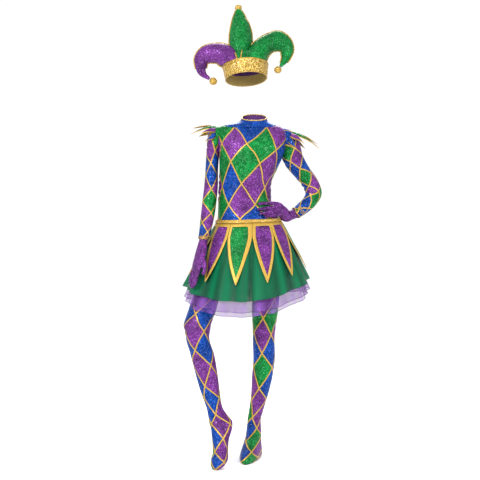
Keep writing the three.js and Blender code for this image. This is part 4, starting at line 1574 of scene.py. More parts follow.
@dataclass
class Bodice:
    """The suit from the collar to the belt, with the zip down its back."""

    around: int = 168
    down: int = 96
    foot_of_collar: float = 1423
    top_of_collar: float = 1449
    slope: float = 0.29
    waist: float = 1006
    shoulder_height: float = 1395
    yoke_low: float = 1310
    shoulder_width: float = 149
    wall: float = 0.9
    crease_span: float = 110
    zip_x: float = 56
    zip_top: float = 1462
    zip_foot: float = 1019
    folds: list[Row] = field(
        default_factory=lambda: table(
            FOLD,
            (322, -82, 70, 3.0, 8, 0.42),
            (352, -66, 62, 2.4, 7, 0.3),
            (384, -84, 66, 3.2, 8, -0.2),
            (408, -58, 50, 2.0, 7, 0.12),
            (300, 76, 46, 1.8, 8, -0.35),
            (352, 80, 58, 2.2, 8, -0.28),
            (398, 70, 64, 2.4, 8, 0.2),
            (180, -72, 46, 2.4, 8, 0.55),
            (176, 70, 52, 2.6, 8, -0.5),
            (148, 56, 40, 1.8, 7, -0.7),
            (152, -58, 38, 1.7, 7, 0.75),
            (330, 176, 84, 2.6, 9, 0.1),
            (366, 160, 66, 2.2, 8, -0.16),
            (398, -164, 74, 2.8, 8, 0.12),
            (420, 12, 70, 1.4, 7, 0.05),
            (210, 150, 60, 1.9, 9, -0.4),
            (214, -148, 56, 1.8, 9, 0.42),
            (110, 8, 42, 1.0, 9, 0.1),
        )
    )

    def skin(self, angle: Array, z: Array, grow: float = 0.0) -> Array:
        """Gives points of the trunk at angles and heights, with creases under the collar."""
        at = trunk.station(z)
        creased = creases(self.folds, angle, at, self.crease_span)
        return trunk.point(angle, at, grow + creased * (z < self.foot_of_collar - 12))

    def tilted(self, angle: Array, base: float) -> Array:
        """Gives the height where a level sloping up to the back meets the trunk."""
        z = np.full_like(angle, base)
        for _ in range(4):
            z = base + self.slope * trunk.point(angle, trunk.station(z))[..., 1]
        return z

    def build(self) -> None:
        """Builds and dresses the suit's upper part."""
        angle = round_angles(self.around)
        top = self.tilted(angle, self.foot_of_collar)
        share = np.linspace(0, 1, self.down)[:, None]
        z = mix(top[None], self.waist, share)
        angles = np.broadcast_to(angle, z.shape)
        points = self.skin(angles, z, 0.3)
        at = trunk.station(z)
        wide = trunk.size("w", at)
        reach = power(np.sin(angles), 2 / trunk.square) * wide
        turned = np.degrees(np.arcsin(np.clip(reach / self.shoulder_width, -1, 1))) / 90
        share_turned = np.clip((z - self.yoke_low) / (self.shoulder_height - self.yoke_low), 0, 1)
        side = mix(folded_side(angles), turned, share_turned * share_turned * (3 - 2 * share_turned))
        data = diamonds(trunk, TRUNK_LATTICE, angles, at, LATTICE_TOP - z, side)
        middles = face_middles(points, True)
        keep = ~(arm_right.inside(middles, -7) | arm_left.inside(middles, -7))
        finish = Harlequin("harlequin_bodice", TRUNK_LATTICE)
        cloth = build("bodice", [Grid(points, keep=keep, data=data)], [finish, LINING])
        drop_loose(cloth)
        thicken(cloth, self.wall, 1)
        nodes = ("bodice_front", "bodice_back_right", "bodice_back_left")
        dress(cloth, nodes)
        self.zip()
        self.collar()

    def back_line(self, z: Array, x: Array | float, grow: float) -> Array:
        """Gives points of the back at heights and distances from the middle."""
        at = trunk.station(z)
        sine = (np.asarray(x, float) - trunk.size("x", at)) / trunk.size("w", at)
        angle = math.pi - np.arcsin(power(np.clip(sine, -1, 1), trunk.square / 2))
        return self.skin(angle, z, grow)

    def zip(self) -> None:
        """Builds the zip's tape, teeth, slider and pull, and the tape's stitches."""
        z = np.linspace(self.zip_top, self.zip_foot, 120)
        profile = table(
            "x up", (4.2, 1.2), (3.9, 2), (1.2, 2.2), (0, 2.1), (-1.2, 2.2), (-3.9, 2), (-4.2, 1.2)
        )
        rows = [self.back_line(z, self.zip_x + row["x"], row["up"]) for row in profile]
        cloth = Plain("zip_cloth", (0.16, 0.04, 0.26), 0.7)
        tape = build("zip_tape", [Grid(np.stack(rows, 1), closed=False)], [cloth])
        thicken(tape, 1.2)
        dress(tape, ("back_zip",))
        path = self.back_line(z, self.zip_x, 2.6)
        steel = Plain("zip_coil", (0.2, 0.08, 0.3), 0.35, 0.4)
        dress(stitches("zip_coil", [path], 1.5, 1.1, steel))
        sewing = [self.back_line(z, self.zip_x + x, 2.2) for x in (-3.2, 3.2)]
        thread = Plain("thread", (0.3, 0.12, 0.45), 0.6)
        dress(stitches("zip_stitches", sewing, 3.2, 2.2, thread))
        metal = Plain("zip_metal", (0.62, 0.5, 0.24), 0.28, 0.9)
        top = self.back_line(np.array([1456.0, 1449.0, 1440.0, 1432.0, 1424.0]), self.zip_x, 3.6)
        dress(piping("zip_slider", [top[:2]], 2.2, metal))
        dress(piping("zip_pull", [top[1:] + [0, 0.8, 0]], 1.1, metal))

    def collar(self) -> None:
        """Builds the stand collar and its bound edge."""
        angle = round_angles(96)
        low = self.tilted(angle, self.foot_of_collar + 0.5)
        high = self.tilted(angle, self.top_of_collar)
        share = np.linspace(1, 0, 14)[:, None]
        z = mix(low[None], high[None], share)
        angles = np.broadcast_to(angle, z.shape)
        wrinkle = 0.5 * np.sin(angles * 3 + 1) * np.sin(math.pi * share)
        points = trunk.point(angles, trunk.station(z), 0.6 + wrinkle)
        neck = build("collar_cloth", [Grid(points)], [Foil("foil_blue", Dye.BLUE), LINING])
        thicken(neck, self.wall, 1)
        edge = trunk.point(angle, trunk.station(high + 1.0), -0.4)
        binding = piping("collar_edge", [edge], 2.7, GOLD_CLOTH, cyclic=True)
        dress(binding, ("collar_binding",))
        dress(neck, ("collar",))


@dataclass
class Cuff:
    """The V that ends a sleeve over the back of the hand."""

    point: tuple[float, float, float]
    towards: tuple[float, float, float]
    across: tuple[float, float, float]
    rise: float

    def station(self, tube: Tube, angle: float) -> float:
        """Finds where the cuff's edge crosses a line down the sleeve.

        Args:
            tube: The sleeve.
            angle: The line's angle.

        Returns:
            The station of the edge.
        """
        at = np.linspace(tube.length * 0.7, tube.length, 300)
        away = tube.point(np.full_like(at, angle), at) - np.array(self.point)
        height = away @ np.array(self.towards) - self.rise * np.abs(away @ np.array(self.across))
        past = np.flatnonzero(height < 0)
        return float(at[past[0]] if len(past) else at[-1])


@dataclass
class Sleeve:
    """One sleeve from the armhole to its pointed cuff."""

    side: str
    tube: Tube
    plan: Lattice
    cuff: Cuff
    folds: list[Row]
    cut: Cut
    lattice_from: float = 0.0
    around: int = 60
    down: int = 120
    radius: float = 34
    line: float = 5.0
    wall: float = 0.9
    swirl: tuple[float, float] = (0.0, 30.0)

    def skin(self, angle: Array, at: Array, grow: float = 0.0) -> Array:
        """Gives points of the sleeve with its creases."""
        fade = np.clip(at / 30, 0, 1)
        return self.tube.point(angle, at, grow + fade * creases(self.folds, angle, at, self.radius))

    def build(self) -> None:
        """Builds and dresses the sleeve, its binding and its gold scroll."""
        angle = round_angles(self.around)
        ends = np.array([self.cuff.station(self.tube, a) for a in angle])
        at = np.linspace(0, 1, self.down)[:, None] * ends[None]
        angles = np.broadcast_to(angle, at.shape)
        points = self.skin(angles, at, 0.3)
        side = folded_side(angles)
        data = diamonds(self.tube, self.plan, angles, at, at - self.lattice_from, side)
        keep = ~trunk.inside(face_middles(points, True), -3)
        finish = Harlequin(f"harlequin_sleeve_{self.side}", self.plan, self.line)
        grid = Grid(points, keep=keep, data=data)
        cloth = build(f"sleeve_{self.side}", [grid], [finish, LINING])
        drop_loose(cloth)
        thicken(cloth, self.wall, 1)
        edge = self.skin(angle, ends - 1.5, 1.0)
        band = piping(f"cuff_edge_{self.side}", [edge], 1.9, GOLD_CLOTH, cyclic=True)
        dress(band)
        scroll = piping(f"cuff_scroll_{self.side}", self.scrolls(), 1.2, GOLD_CLOTH)
        dress(scroll)
        nodes = (f"sleeve_{self.side}_front", f"sleeve_{self.side}_back")
        dress(cloth, nodes)

    def scrolls(self) -> list[Array]:
        """Lays two facing curls on the cuff, in front and behind.

        Returns:
            The paths of the curls.
        """
        turn = np.linspace(0.4, 3.3 * math.pi, 60)
        paths = []
        for middle in (self.swirl[0], self.swirl[0] + math.pi):
            for way in (1, -1):
                radius = 1.2 + turn * 0.85
                across = way * (radius * np.cos(turn) - 8.5)
                along = self.tube.length - self.swirl[1] + radius * np.sin(turn) - 6
                paths.append(self.skin(middle + across / self.radius * 1.25, along, 1.2))
        return paths


@dataclass
class Leaves:
    """The fan of pointed leaves at one armhole."""

    side: str
    rows: list[Row]
    centre: tuple[float, float, float]
    out: tuple[float, float, float]
    up: float
    deep: float = 44
    thick: float = 1.4
    widest: float = 0.25
    root: float = 0.8
    tip: float = 0.04
    arch: float = 7
    camber: float = 0.5
    border: float = 2.6
    dyes: tuple[Dye, ...] = (Dye.BLUE, Dye.PURPLE, Dye.GREEN, Dye.PURPLE, Dye.GREEN)

    def build(self) -> None:
        """Builds and dresses the fan."""
        outwards = np.array(self.out) / np.linalg.norm(self.out)
        back = np.array([0.0, 1.0, 0.0])
        upwards = np.cross(back, outwards)
        upwards *= 1 if upwards[2] > 0 else -1
        grids = []
        t = np.linspace(0, 1, 26)[:, None]
        v = np.linspace(-1, 1, 13)[None]
        for i, row in enumerate(self.rows):
            turn = math.radians(row["at"])
            normal = upwards * math.cos(turn) + back * math.sin(turn)
            side = np.cross(outwards, normal)
            ring = upwards * self.up * math.cos(turn) + back * self.deep * math.sin(turn)
            root = np.array(self.centre) + ring
            tip = root + outwards * row["reach"] + upwards * row["rise"] + back * row["sway"]
            past = (t - self.widest) / (1 - self.widest)
            shape = np.where(past < 0, mix(self.root, 1, t / self.widest), mix(1, self.tip, past))
            half = 0.5 * row["wide"] * shape
            lift = self.arch * np.sin(math.pi * t) + self.camber * half * (1 - v * v) + 0.9
            lift = lift + 0.8 * np.sin(9 * t + i) * v
            spine = root + (tip - root) * t[..., None]
            spots = spine + side * (half * v)[..., None] + normal * lift[..., None]
            edge = np.minimum(half * (1 - np.abs(v)), (1 - t) * row["reach"]) + 0 * v
            if np.dot(np.cross(tip - root, side), normal) < 0:
                spots, edge = spots[:, ::-1], edge[:, ::-1]
            grids.append(Grid(spots, closed=False, data={"edge": edge}, slot=2 * i))
        finishes: list[Finish] = []
        for dye in self.dyes:
            finishes.append(Bordered(f"leaf_{dye.name.lower()}", dye, self.border))
            # painted shade: the undersides are the gold glitter at half brightness
            finishes.append(Glitter("gold_underside_shaded", 0.5))
        fan = build(f"shoulder_leaves_{self.side}", grids, finishes)
        thicken(fan, self.thick, 1)
        dress(fan, (f"shoulder_points_{self.side}",))


@dataclass
class Leg:
    """One footed leg with its half of the hips."""

    side: str
    tube: LevelTube
    plan: Lattice
    folds: list[Row]
    cut: Cut
    sign: int
    around: int = 72
    down: int = 200
    crotch_x: float = 32
    waist: float = 1008
    wall: float = 0.9
    radius: float = 55

    def skin(self, angle: Array, at: Array, grow: float = 0.0) -> Array:
        """Gives points of the leg with its creases."""
        return self.tube.point(angle, at, grow + creases(self.folds, angle, at, self.radius))

    def hips(self) -> Grid:
        """Makes this side's half of the hips, from the belt down to the fork.

        Returns:
            The grid, without the faces inside the leg.
        """
        z = np.concatenate([np.linspace(self.waist - 0.2, 822, 44), [818.0]])[:, None]
        at = trunk.station(z)
        reach = (self.crotch_x - trunk.size("x", at)) / trunk.size("w", at)
        front = np.arcsin(np.clip(power(reach, trunk.square / 2), -1, 1))
        share = np.linspace(0, 1, 80)[None]
        if self.sign > 0:
            angles = mix(front, math.pi - front, share)
        else:
            angles = mix(math.pi - front, 2 * math.pi + front, share)
        points = trunk.point(angles, at + 0 * angles, 0.2)
        zz = z + 0 * angles
        side = folded_side(angles)
        data = diamonds(trunk, TRUNK_LATTICE, angles, at + 0 * angles, LATTICE_TOP - zz, side)
        keep = ~self.tube.inside(face_middles(points, False), -3)
        return Grid(points, closed=False, keep=keep, data=data, slot=2)

    def build(self) -> None:
        """Builds and dresses the leg."""
        angle = round_angles(self.around)
        at = np.linspace(0, self.tube.length, self.down)[:, None]
        angles = np.broadcast_to(angle, (self.down, self.around))
        at = at + 0 * angles
        points = self.skin(angles, at, 0.2)
        data = diamonds(self.tube, self.plan, angles, at, at, folded_side(angles))
        keep = ~trunk.inside(face_middles(points, True), -3)
        grids = [Grid(points, keep=keep, data=data, cap_foot=True), self.hips()]
        leg = Harlequin(f"harlequin_leg_{self.side}", self.plan)
        hips = Harlequin("harlequin_bodice", TRUNK_LATTICE)
        cloth = build(f"leg_{self.side}", grids, [leg, LINING, hips, LINING])
        drop_loose(cloth)
        thicken(cloth, self.wall, 1)
        nodes = (f"leg_{self.side}_front", f"leg_{self.side}_back")
        dress(cloth, nodes)


@dataclass
class Glove:
    """One glove: a palm, four fingers and a thumb, open at the wrist."""

    side: str
    palm: list[Row]
    fingers: list[list[Row]]
    wrist: tuple[float, float, float]
    normal: tuple[float, float, float]
    voxel: float = 1.9
    wall: float = 0.8
    rings: int = 40
    palm_around: int = 32
    finger_around: int = 16
    inset: float = 0.2
    tip_turns: tuple[float, ...] = (25, 50, 70, 84)
    tip_bulge: float = 0.85

    def tubes(self) -> list[Grid]:
        """Makes the palm and the fingers, each a closed tube with a rounded tip.

        Returns:
            The grids.
        """
        grids = []
        rows = [[{**row, "w": row["r"], "d": row["r"]} for row in finger] for finger in self.fingers]
        for i, part in enumerate([self.palm, *rows]):
            tube = PathTube(part)
            angle = round_angles(self.palm_around if i == 0 else self.finger_around)
            at = np.linspace(0, tube.length, self.rings)[:, None]
            angles = np.broadcast_to(angle, (self.rings, len(angle)))
            body = tube.point(angles, at + 0 * angles, -self.inset)
            ends = []
            for where, way in ((0.0, -1), (tube.length, 1)):
                ring = tube.point(angle, np.full_like(angle, where), -self.inset)
                middle = tube.centre(np.array([where]))[0]
                other = tube.centre(np.array([where - way * 3.0]))[0]
                along = (middle - other) / np.linalg.norm(middle - other)
                high = self.tip_bulge * float(tube.size("d", np.array([where]))[0])
                caps = [
                    middle + (ring - middle) * math.cos(turn) + along * high * math.sin(turn)
                    for turn in np.radians(self.tip_turns)
                ]
                ends.append(np.stack(caps if way > 0 else caps[::-1]))
            whole = np.concatenate([ends[0], body, ends[1]])
            grids.append(Grid(whole, cap_top=True, cap_foot=True))
        return grids

    def build(self) -> None:
        """Joins the tubes into one skin, opens the wrist and dresses the glove."""
        # crumple 1 gives the glove wrinkles with painted shade in their troughs
        stretch = Foil("foil_purple_glove", Dye.PURPLE, 1.0)
        raw = build(f"glove_raw_{self.side}", self.tubes(), [stretch])
        voxels = raw.modifiers.new("skin", "REMESH")
        voxels.mode = "VOXEL"
        voxels.voxel_size = self.voxel / 1000
        soft = raw.modifiers.new("soft", "SMOOTH")
        soft.factor = 0.5
        soft.iterations = 5
        mesh = baked(raw)
        bpy.data.objects.remove(raw)
        work = bmesh.new()
        work.from_mesh(mesh)
        whole = [*work.verts, *work.edges, *work.faces]
        spot, normal = Vector(place(np.array(self.wrist))), Vector(self.normal).normalized()
        bmesh.ops.bisect_plane(work, geom=whole, plane_co=spot, plane_no=normal, clear_inner=True)
        work.to_mesh(mesh)
        work.free()
        mesh.materials.clear()
        for material in (stretch.material(), LINING.material()):
            mesh.materials.append(material)
        mesh.polygons.foreach_set("use_smooth", [True] * len(mesh.polygons))
        mesh.polygons.foreach_set("material_index", [0] * len(mesh.polygons))
        glove = add_object(f"glove_cloth_{self.side}", mesh)
        thicken(glove, self.wall, 1)
        dress(glove, (f"glove_{self.side}",))


@dataclass
class Skirt:
    """The belt, eleven pointed petals and three gathered layers of tulle."""

    top_x: float = 37
    hem_x: float = 28
    belt_low: float = 1000
    tilt: float = 0.033
    hem: float = 722
    hem_front: float = 18
    hem_sides: float = 20
    hem_left: float = 16.5
    waves: int = 12
    wave: float = 9
    wave_growth: float = 1.3
    uneven: float = 0.1
    swells: int = 5
    swell: float = 1.5
    flare: float = 0.94
    soft: float = 3.2
    petals: int = 11
    first_petal: float = -45
    valley: float = 0.22
    petal_length: float = 0.79
    petal_thick: float = 1.3
    petal_tip: float = 0.02
    border: float = 11.5
    border_top: float = 11.5
    border_reach: float = 0.055
    sways: tuple[float, ...] = (2.5, 2, -2, -6, -5, 3, -2, 2, -3, 1, -2)
    waist_wide: float = field(init=False)
    waist_front: float = field(init=False)
    waist_back: float = field(init=False)

    def __post_init__(self) -> None:
        """Takes the waist's half sizes from the trunk."""
        spot = trunk.station(np.array([self.belt_low]))
        self.waist_wide = float(trunk.size("w", spot)[0])
        self.waist_front = float(trunk.size("f", spot)[0])
        self.waist_back = float(trunk.size("b", spot)[0])

    def fold(self, angle: Array, s: Array) -> Array:
        """Gives the large waves' height."""
        turned = angle + self.uneven * np.sin(3 * angle + 0.6)
        return self.wave * s**self.wave_growth * np.cos(self.waves * turned)

    def point(self, angle: Array, s: Array, layer: Row, out: Array | float) -> Array:
        """Gives points of a layer.

        Args:
            angle: Radians from the front.
            s: From 0 at the belt to 1 at the hem.
            layer: The layer's off, wide, deep and longer.
            out: How far outside the layer.

        Returns:
            The points, in floor millimetres.
        """
        swell = self.swell * s * np.sin(self.swells * angle + 1)
        off = layer["off"] + out + self.fold(angle, s) + swell
        flare = s**self.flare
        wide = mix(self.waist_wide, layer["wide"], flare) + off
        waist = np.where(np.cos(angle) > 0, self.waist_front, self.waist_back)
        deep = mix(waist, layer["deep"], flare) + off
        square = mix(trunk.square, 2, s)
        x = mix(self.top_x, self.hem_x, s) + wide * power(np.sin(angle), 2 / square)
        y = -deep * power(np.cos(angle), 2 / square)
        top = self.belt_low - 0.3 + self.tilt * (x - self.top_x)
        dip = self.hem_front * np.cos(angle) + self.hem_sides * np.cos(2 * angle)
        hem = self.hem - layer["longer"] - dip + self.hem_left * np.sin(angle)
        return np.stack([x, y, mix(top, hem, s)], -1)

    def build(self) -> None:
        """Builds and dresses every layer."""
        self.belt()
        layers = table(
            "off wide deep longer", (0.9, 257, 224, 64), (2.5, 260, 228, 46), (4.1, 262, 231, 0)
        )
        lilac = Tulle("tulle_lilac", Dye.LILAC, 0.36)
        lilac_under = Tulle("tulle_lilac_under", Dye.LILAC, 0.4)
        sea = Tulle("tulle_sea", Dye.SEA, 0.86)
        self.tulle("tulle_purple_lower", layers[0], lilac_under, 84, 1.0, 0.62)
        self.tulle("tulle_purple_upper", layers[1], lilac, 72, 2.2, 0.58)
        self.tulle("tulle_green", layers[2], sea, 60, 0.3, 0.5)
        for i in range(self.petals):
            self.petal(i)

    def belt(self) -> None:
        """Builds the waistband: a flat padded ring with bound edges."""
        angle = round_angles(144)
        lower = ((0, 0.4), (0.2, 4.5), (0.9, 7.4), (2.4, 8.2), (4.2, 7.6))
        upper = ((7.5, 7.9), (10.8, 7.6), (12.6, 8.2), (14.1, 7.4), (14.8, 4.5), (15, 0.4))
        outline = table("up out", *lower, *upper)
        rows = []
        for row in reversed(outline):
            z = np.full_like(angle, self.belt_low + row["up"])
            for _ in range(3):
                x = trunk.point(angle, trunk.station(z))[..., 0]
                z = self.belt_low + row["up"] + self.tilt * (x - self.top_x)
            rows.append(trunk.point(angle, trunk.station(z), row["out"]))
        rows.append(rows[0])
        ring = build("waistband", [Grid(np.stack(rows))], [GOLD_CLOTH])
        sewing = [rows[3] + [0, 0, -0.9], rows[7] + [0, 0, 0.9]]
        gold_thread = Plain("gold_thread", (0.5, 0.3, 0.05), 0.5, 0.3)
        dress(stitches("waistband_stitches", sewing, 4.2, 2.8, gold_thread))
        weld(ring)
        dress(ring, ("belt",))

    def tulle(
        self, name: str, layer: Row, finish: Finish, gathers: int, phase: float, fine: float
    ) -> None:
        """Builds one gathered layer with its rolled hem.

        Args:
            name: The CAD node.
            layer: The layer's row.
            finish: Its finish.
            gathers: How many fine gathers there are at the belt.
            phase: Where they begin.
            fine: How deep they are.
        """
        angle = round_angles(480)
        s = np.concatenate([np.linspace(0, 0.1, 6), np.linspace(0.14, 1, 22)])[:, None]
        wander = angle + 0.05 * np.sin(5 * angle + phase) + 0.02 * np.sin(11 * angle + 2 * phase)
        small = np.cos(gathers * wander) * np.exp(-((s - 0.05) * 3.2)) * s**0.3
        broad = np.cos((gathers // 3) * wander + 0.8 * s)
        broad = broad + 0.6 * np.cos((gathers // 4 + 1) * wander + 2)
        uneven = 0.7 + 0.3 * np.sin(3 * angle + phase)
        small = fine * small + self.soft * broad * s**1.5 * uneven
        points = self.point(angle[None], s, layer, small)
        reach = np.linalg.norm(points[-1] - points[0], axis=-1)
        near = 0.28 * np.cos(gathers * wander) * np.clip(1 - 1.4 * s, 0, 1)
        loose = 0.2 * broad + 0.22 * np.cos(2.3 * self.waves * wander + 1)
        gather_and_shade = np.clip(0.5 + near + loose * s**0.5, 0, 1)
        # the fold attribute sets how much net shows and the painted light and shade on its folds
        data = {"hem": (1 - s) * reach[None], "fold": gather_and_shade}
        cloth = build(f"{name}_cloth", [Grid(points, data=data)], [finish])
        dress(cloth, (name,))

    def petal(self, index: int) -> None:
        """Builds one petal with its gold border."""
        layer = {"off": 5.8, "wide": 262, "deep": 231, "longer": 0}
        middle = self.first_petal + index * 360 / self.petals
        half_pitch = 180 / self.petals
        t = np.concatenate([np.linspace(0, 0.94, 40), np.linspace(0.955, 1, 6)])[:, None]
        v = np.linspace(-1, 1, 25)[None]
        past = np.maximum(0, (t - self.valley) / (1 - self.valley))
        s = t * self.petal_length
        radius = mix(self.waist_wide, layer["wide"], s)
        half = half_pitch * mix(1, self.petal_tip, past**1.12) - 0.5 / radius * 90 / math.pi
        half = np.maximum(half, 0.02)
        angles = np.radians(middle + self.sways[index] * past + half * v)
        lift = 2.5 * np.minimum(1, s / 0.5) + 3.0 * past**3 * math.sin(index * 2.1 + 1) ** 2
        relax = self.wave * s**self.wave_growth - self.fold(angles, s)
        ripple = 0.8 * np.sin(3 * v + index) * s + 0.7 * np.sin(8 * t + 1.7 * index)
        lateral = np.radians(half) * (1 - np.abs(v)) * radius
        edge = np.minimum(lateral, self.border_top * t / self.border_reach + 0 * v)
        raised = 0.5 * np.clip((self.border - edge) / 1.5, 0, 1)
        spots = self.point(angles, s + 0 * v, layer, relax + lift + ripple + raised + 1.0)
        dye = Dye.GREEN if index % 3 == 1 else Dye.PURPLE
        finish = Bordered(f"petal_{dye.name.lower()}", dye, self.border)
        grid = Grid(spots, closed=False, data={"edge": edge})
        cloth = build(f"petal_cloth_{index + 1:02d}", [grid], [finish, LINING])
        thicken(cloth, self.petal_thick, 1)
        dress(cloth, (f"petal_{index + 1:02d}",))


@dataclass
class Hat:
    """The padded hat: brocade band, crown, three horns and their gold balls."""

    band_wall: float = 2.6
    cord: float = 3.1
    horn_rows: int = 96
    horn_around: int = 56
    ball_rows: int = 34
    ball_around: int = 52
    seam_right: tuple[float, float] = (-33.5, -44.0)
    seam_left: tuple[float, float] = (-18.0, -8.0)

    def tipped(self, points: Array) -> Array:
        """Moves points from the level hat to the tipped one."""
        matrix = np.array(HAT_PLACE)
        return points @ matrix[:3, :3].T + matrix[:3, 3]

    def level(self, points: Array) -> Array:
        """Moves points from the tipped hat to the level one."""
        matrix = np.array(HAT_PLACE)
        return (points - matrix[:3, 3]) @ matrix[:3, :3]

    def above_band(self, points: Array) -> Array:
        """Lifts the points over the band that lie lower than its top edge."""
        flat = self.level(points.reshape(-1, 3))
        wide, deep = BAND["top"][0] + 14, BAND["top"][1] + 6
        over = (flat[:, 0] / wide) ** 2 + (flat[:, 1] / deep) ** 2 < 1
        flat[over, 2] = np.maximum(flat[over, 2], BAND["high"] + 0.4)
        return self.tipped(flat).reshape(points.shape)

    def build(self) -> None:
        """Builds and dresses the hat."""
        self.band()
        self.crown()
        horns = {
            "middle": (HORN_MIDDLE, Dye.GREEN),
            "right": (HORN_RIGHT, Dye.PURPLE),
            "left": (HORN_LEFT, Dye.GREEN),
        }
        for side, (rows, dye) in horns.items():
            self.horn(side, rows, dye)
            self.bobble(side, BOBBLES[side])

    def band(self) -> None:
        """Builds the flared band with its sequins and corded edges."""
        angle = round_angles(144)
        high = BAND["high"]
        share = np.linspace(1, 0, 20)[:, None]
        puff = (1.4 + 0.4 * np.sin(angle * 9)[None]) * np.sin(math.pi * share)
        wide = mix(BAND["foot"][0], BAND["top"][0], share) + puff
        deep = mix(BAND["foot"][1], BAND["top"][1], share) + puff
        z = share * high + 0 * angle
        spots = self.tipped(np.stack([wide * np.sin(angle), -deep * np.cos(angle), z], -1))
        lining = Plain("band_lining", (0.4, 0.28, 0.1))
        cloth = build("hat_band_cloth", [Grid(spots)], [Brocade("brocade_gold"), lining])
        discs = sequins("hat_band_sequins", cloth, 6.2, 1.5, Glitter("sequin_gold"))
        dress(discs)
        thicken(cloth, self.band_wall, 1)
        edges = piping("hat_band_edges", [spots[0], spots[-1]], 2.3, GOLD_CLOTH, cyclic=True)
        dress(edges)
        dress(cloth, ("hat_band",))

    def crown(self) -> None:
        """Builds the crown: purple on the right, green on the left, with piping between."""
        tube = LevelTube(CROWN)
        angle = round_angles(96)
        at = np.linspace(0, tube.length, 30)[:, None]
        angles = np.broadcast_to(angle, (30, 96))
        level = tube.point(angles, at + 0 * angles, 0.4)
        grid = Grid(self.tipped(level), cap_top=True)
        purple_foil, green_foil = Foil("foil_purple", Dye.PURPLE), Foil("foil_green", Dye.GREEN)
        cloth = build("crown_cloth", [grid], [purple_foil, LINING, green_foil, LINING])
        middles = np.array([face.center for face in cloth.data.polygons]) * 1000 + WORN_AT
        spots = self.level(middles)
        line = mix(self.seam_right[0], self.seam_right[1], spots[:, 2] / BAND["high"] - 1)
        purple = spots[:, 0] < np.where(spots[:, 1] < 0, line, line * 0.3)
        cloth.data.polygons.foreach_set("material_index", np.where(purple, 0, 2))
        thicken(cloth, 1.0, 1)
        heights = np.linspace(BAND["high"] + 2, 112, 24)
        lines = []
        for low, high in (self.seam_right, self.seam_left):
            at = tube.station(heights)
            x = mix(low, high, heights / BAND["high"] - 1)
            turn = np.arcsin(np.clip(x / tube.size("w", at), -1, 1))
            lines.append(self.tipped(tube.point(turn, at, 1.2)))
            lines.append(self.tipped(tube.point(math.pi - 0.3 * turn, at, 1.2)))
        dress(piping("crown_piping", lines[:3], self.cord, GOLD_CLOTH))
        dress(cloth, ("hat_crown",))

    def horn(self, side: str, rows: list[Row], dye: Dye) -> None:
        """Builds one padded horn and the piping along its two seams.

        Args:
            side: The horn's name.
            rows: Its table.
            dye: Its colour.
        """
        tube = PathTube(rows)
        at = np.linspace(0, tube.length, self.horn_rows)[:, None]
        angles = np.broadcast_to(round_angles(self.horn_around), (self.horn_rows, self.horn_around))
        to_side, to_front = np.abs(np.sin(angles)), np.abs(np.cos(angles))
        pull = 1.1 * np.sin(at / 9 + 1.3 * np.sin(angles)) * to_side**6
        slack = 1.3 * np.sin(at / 21 + 2 * np.cos(angles)) * np.sin(math.pi * at / tube.length) * to_front
        pinch = -1.6 * np.exp(-((np.abs(np.abs(folded_side(angles)) - 1) / 0.07) ** 2))
        points = self.above_band(tube.point(angles, at + 0 * angles, pull + slack + pinch))
        grid = Grid(points, cap_top=True, cap_foot=True)
        shell = build(f"horn_{side}", [grid], [Foil(f"foil_{dye.name.lower()}", dye)])
        path = np.linspace(6, tube.length - 1, 90)
        seams = []
        for turn in (math.pi / 2, -math.pi / 2):
            line = tube.point(np.full_like(path, turn), path, 1.6)
            seams.append(line[self.level(line)[:, 2] > BAND["high"]])
        dress(piping(f"horn_piping_{side}", seams, self.cord, GOLD_CLOTH))
        dress(shell, (f"hat_horn_{side}",))

    def bobble(self, side: str, ball: tuple[float, float, float, float]) -> None:
        """Builds one glittering ball."""
        x, y, z, radius = ball
        polar = np.linspace(0.06, math.pi - 0.06, self.ball_rows)[:, None]
        angle = round_angles(self.ball_around)
        dice = np.random.default_rng(int(radius) + len(side))
        rough = dice.normal(0, 0.35, (self.ball_rows, self.ball_around))
        reach = radius - 0.3 + rough * np.sin(polar)
        level = reach * np.sin(polar)
        height = z + reach * np.cos(polar) + 0 * angle
        spots = np.stack([x + level * np.sin(angle), y - level * np.cos(angle), height], -1)
        grid = Grid(spots, cap_top=True, cap_foot=True)
        piece = build(f"bobble_{side}", [grid], [GOLD_CLOTH])
        dress(piece, (f"hat_bobble_{side}",))


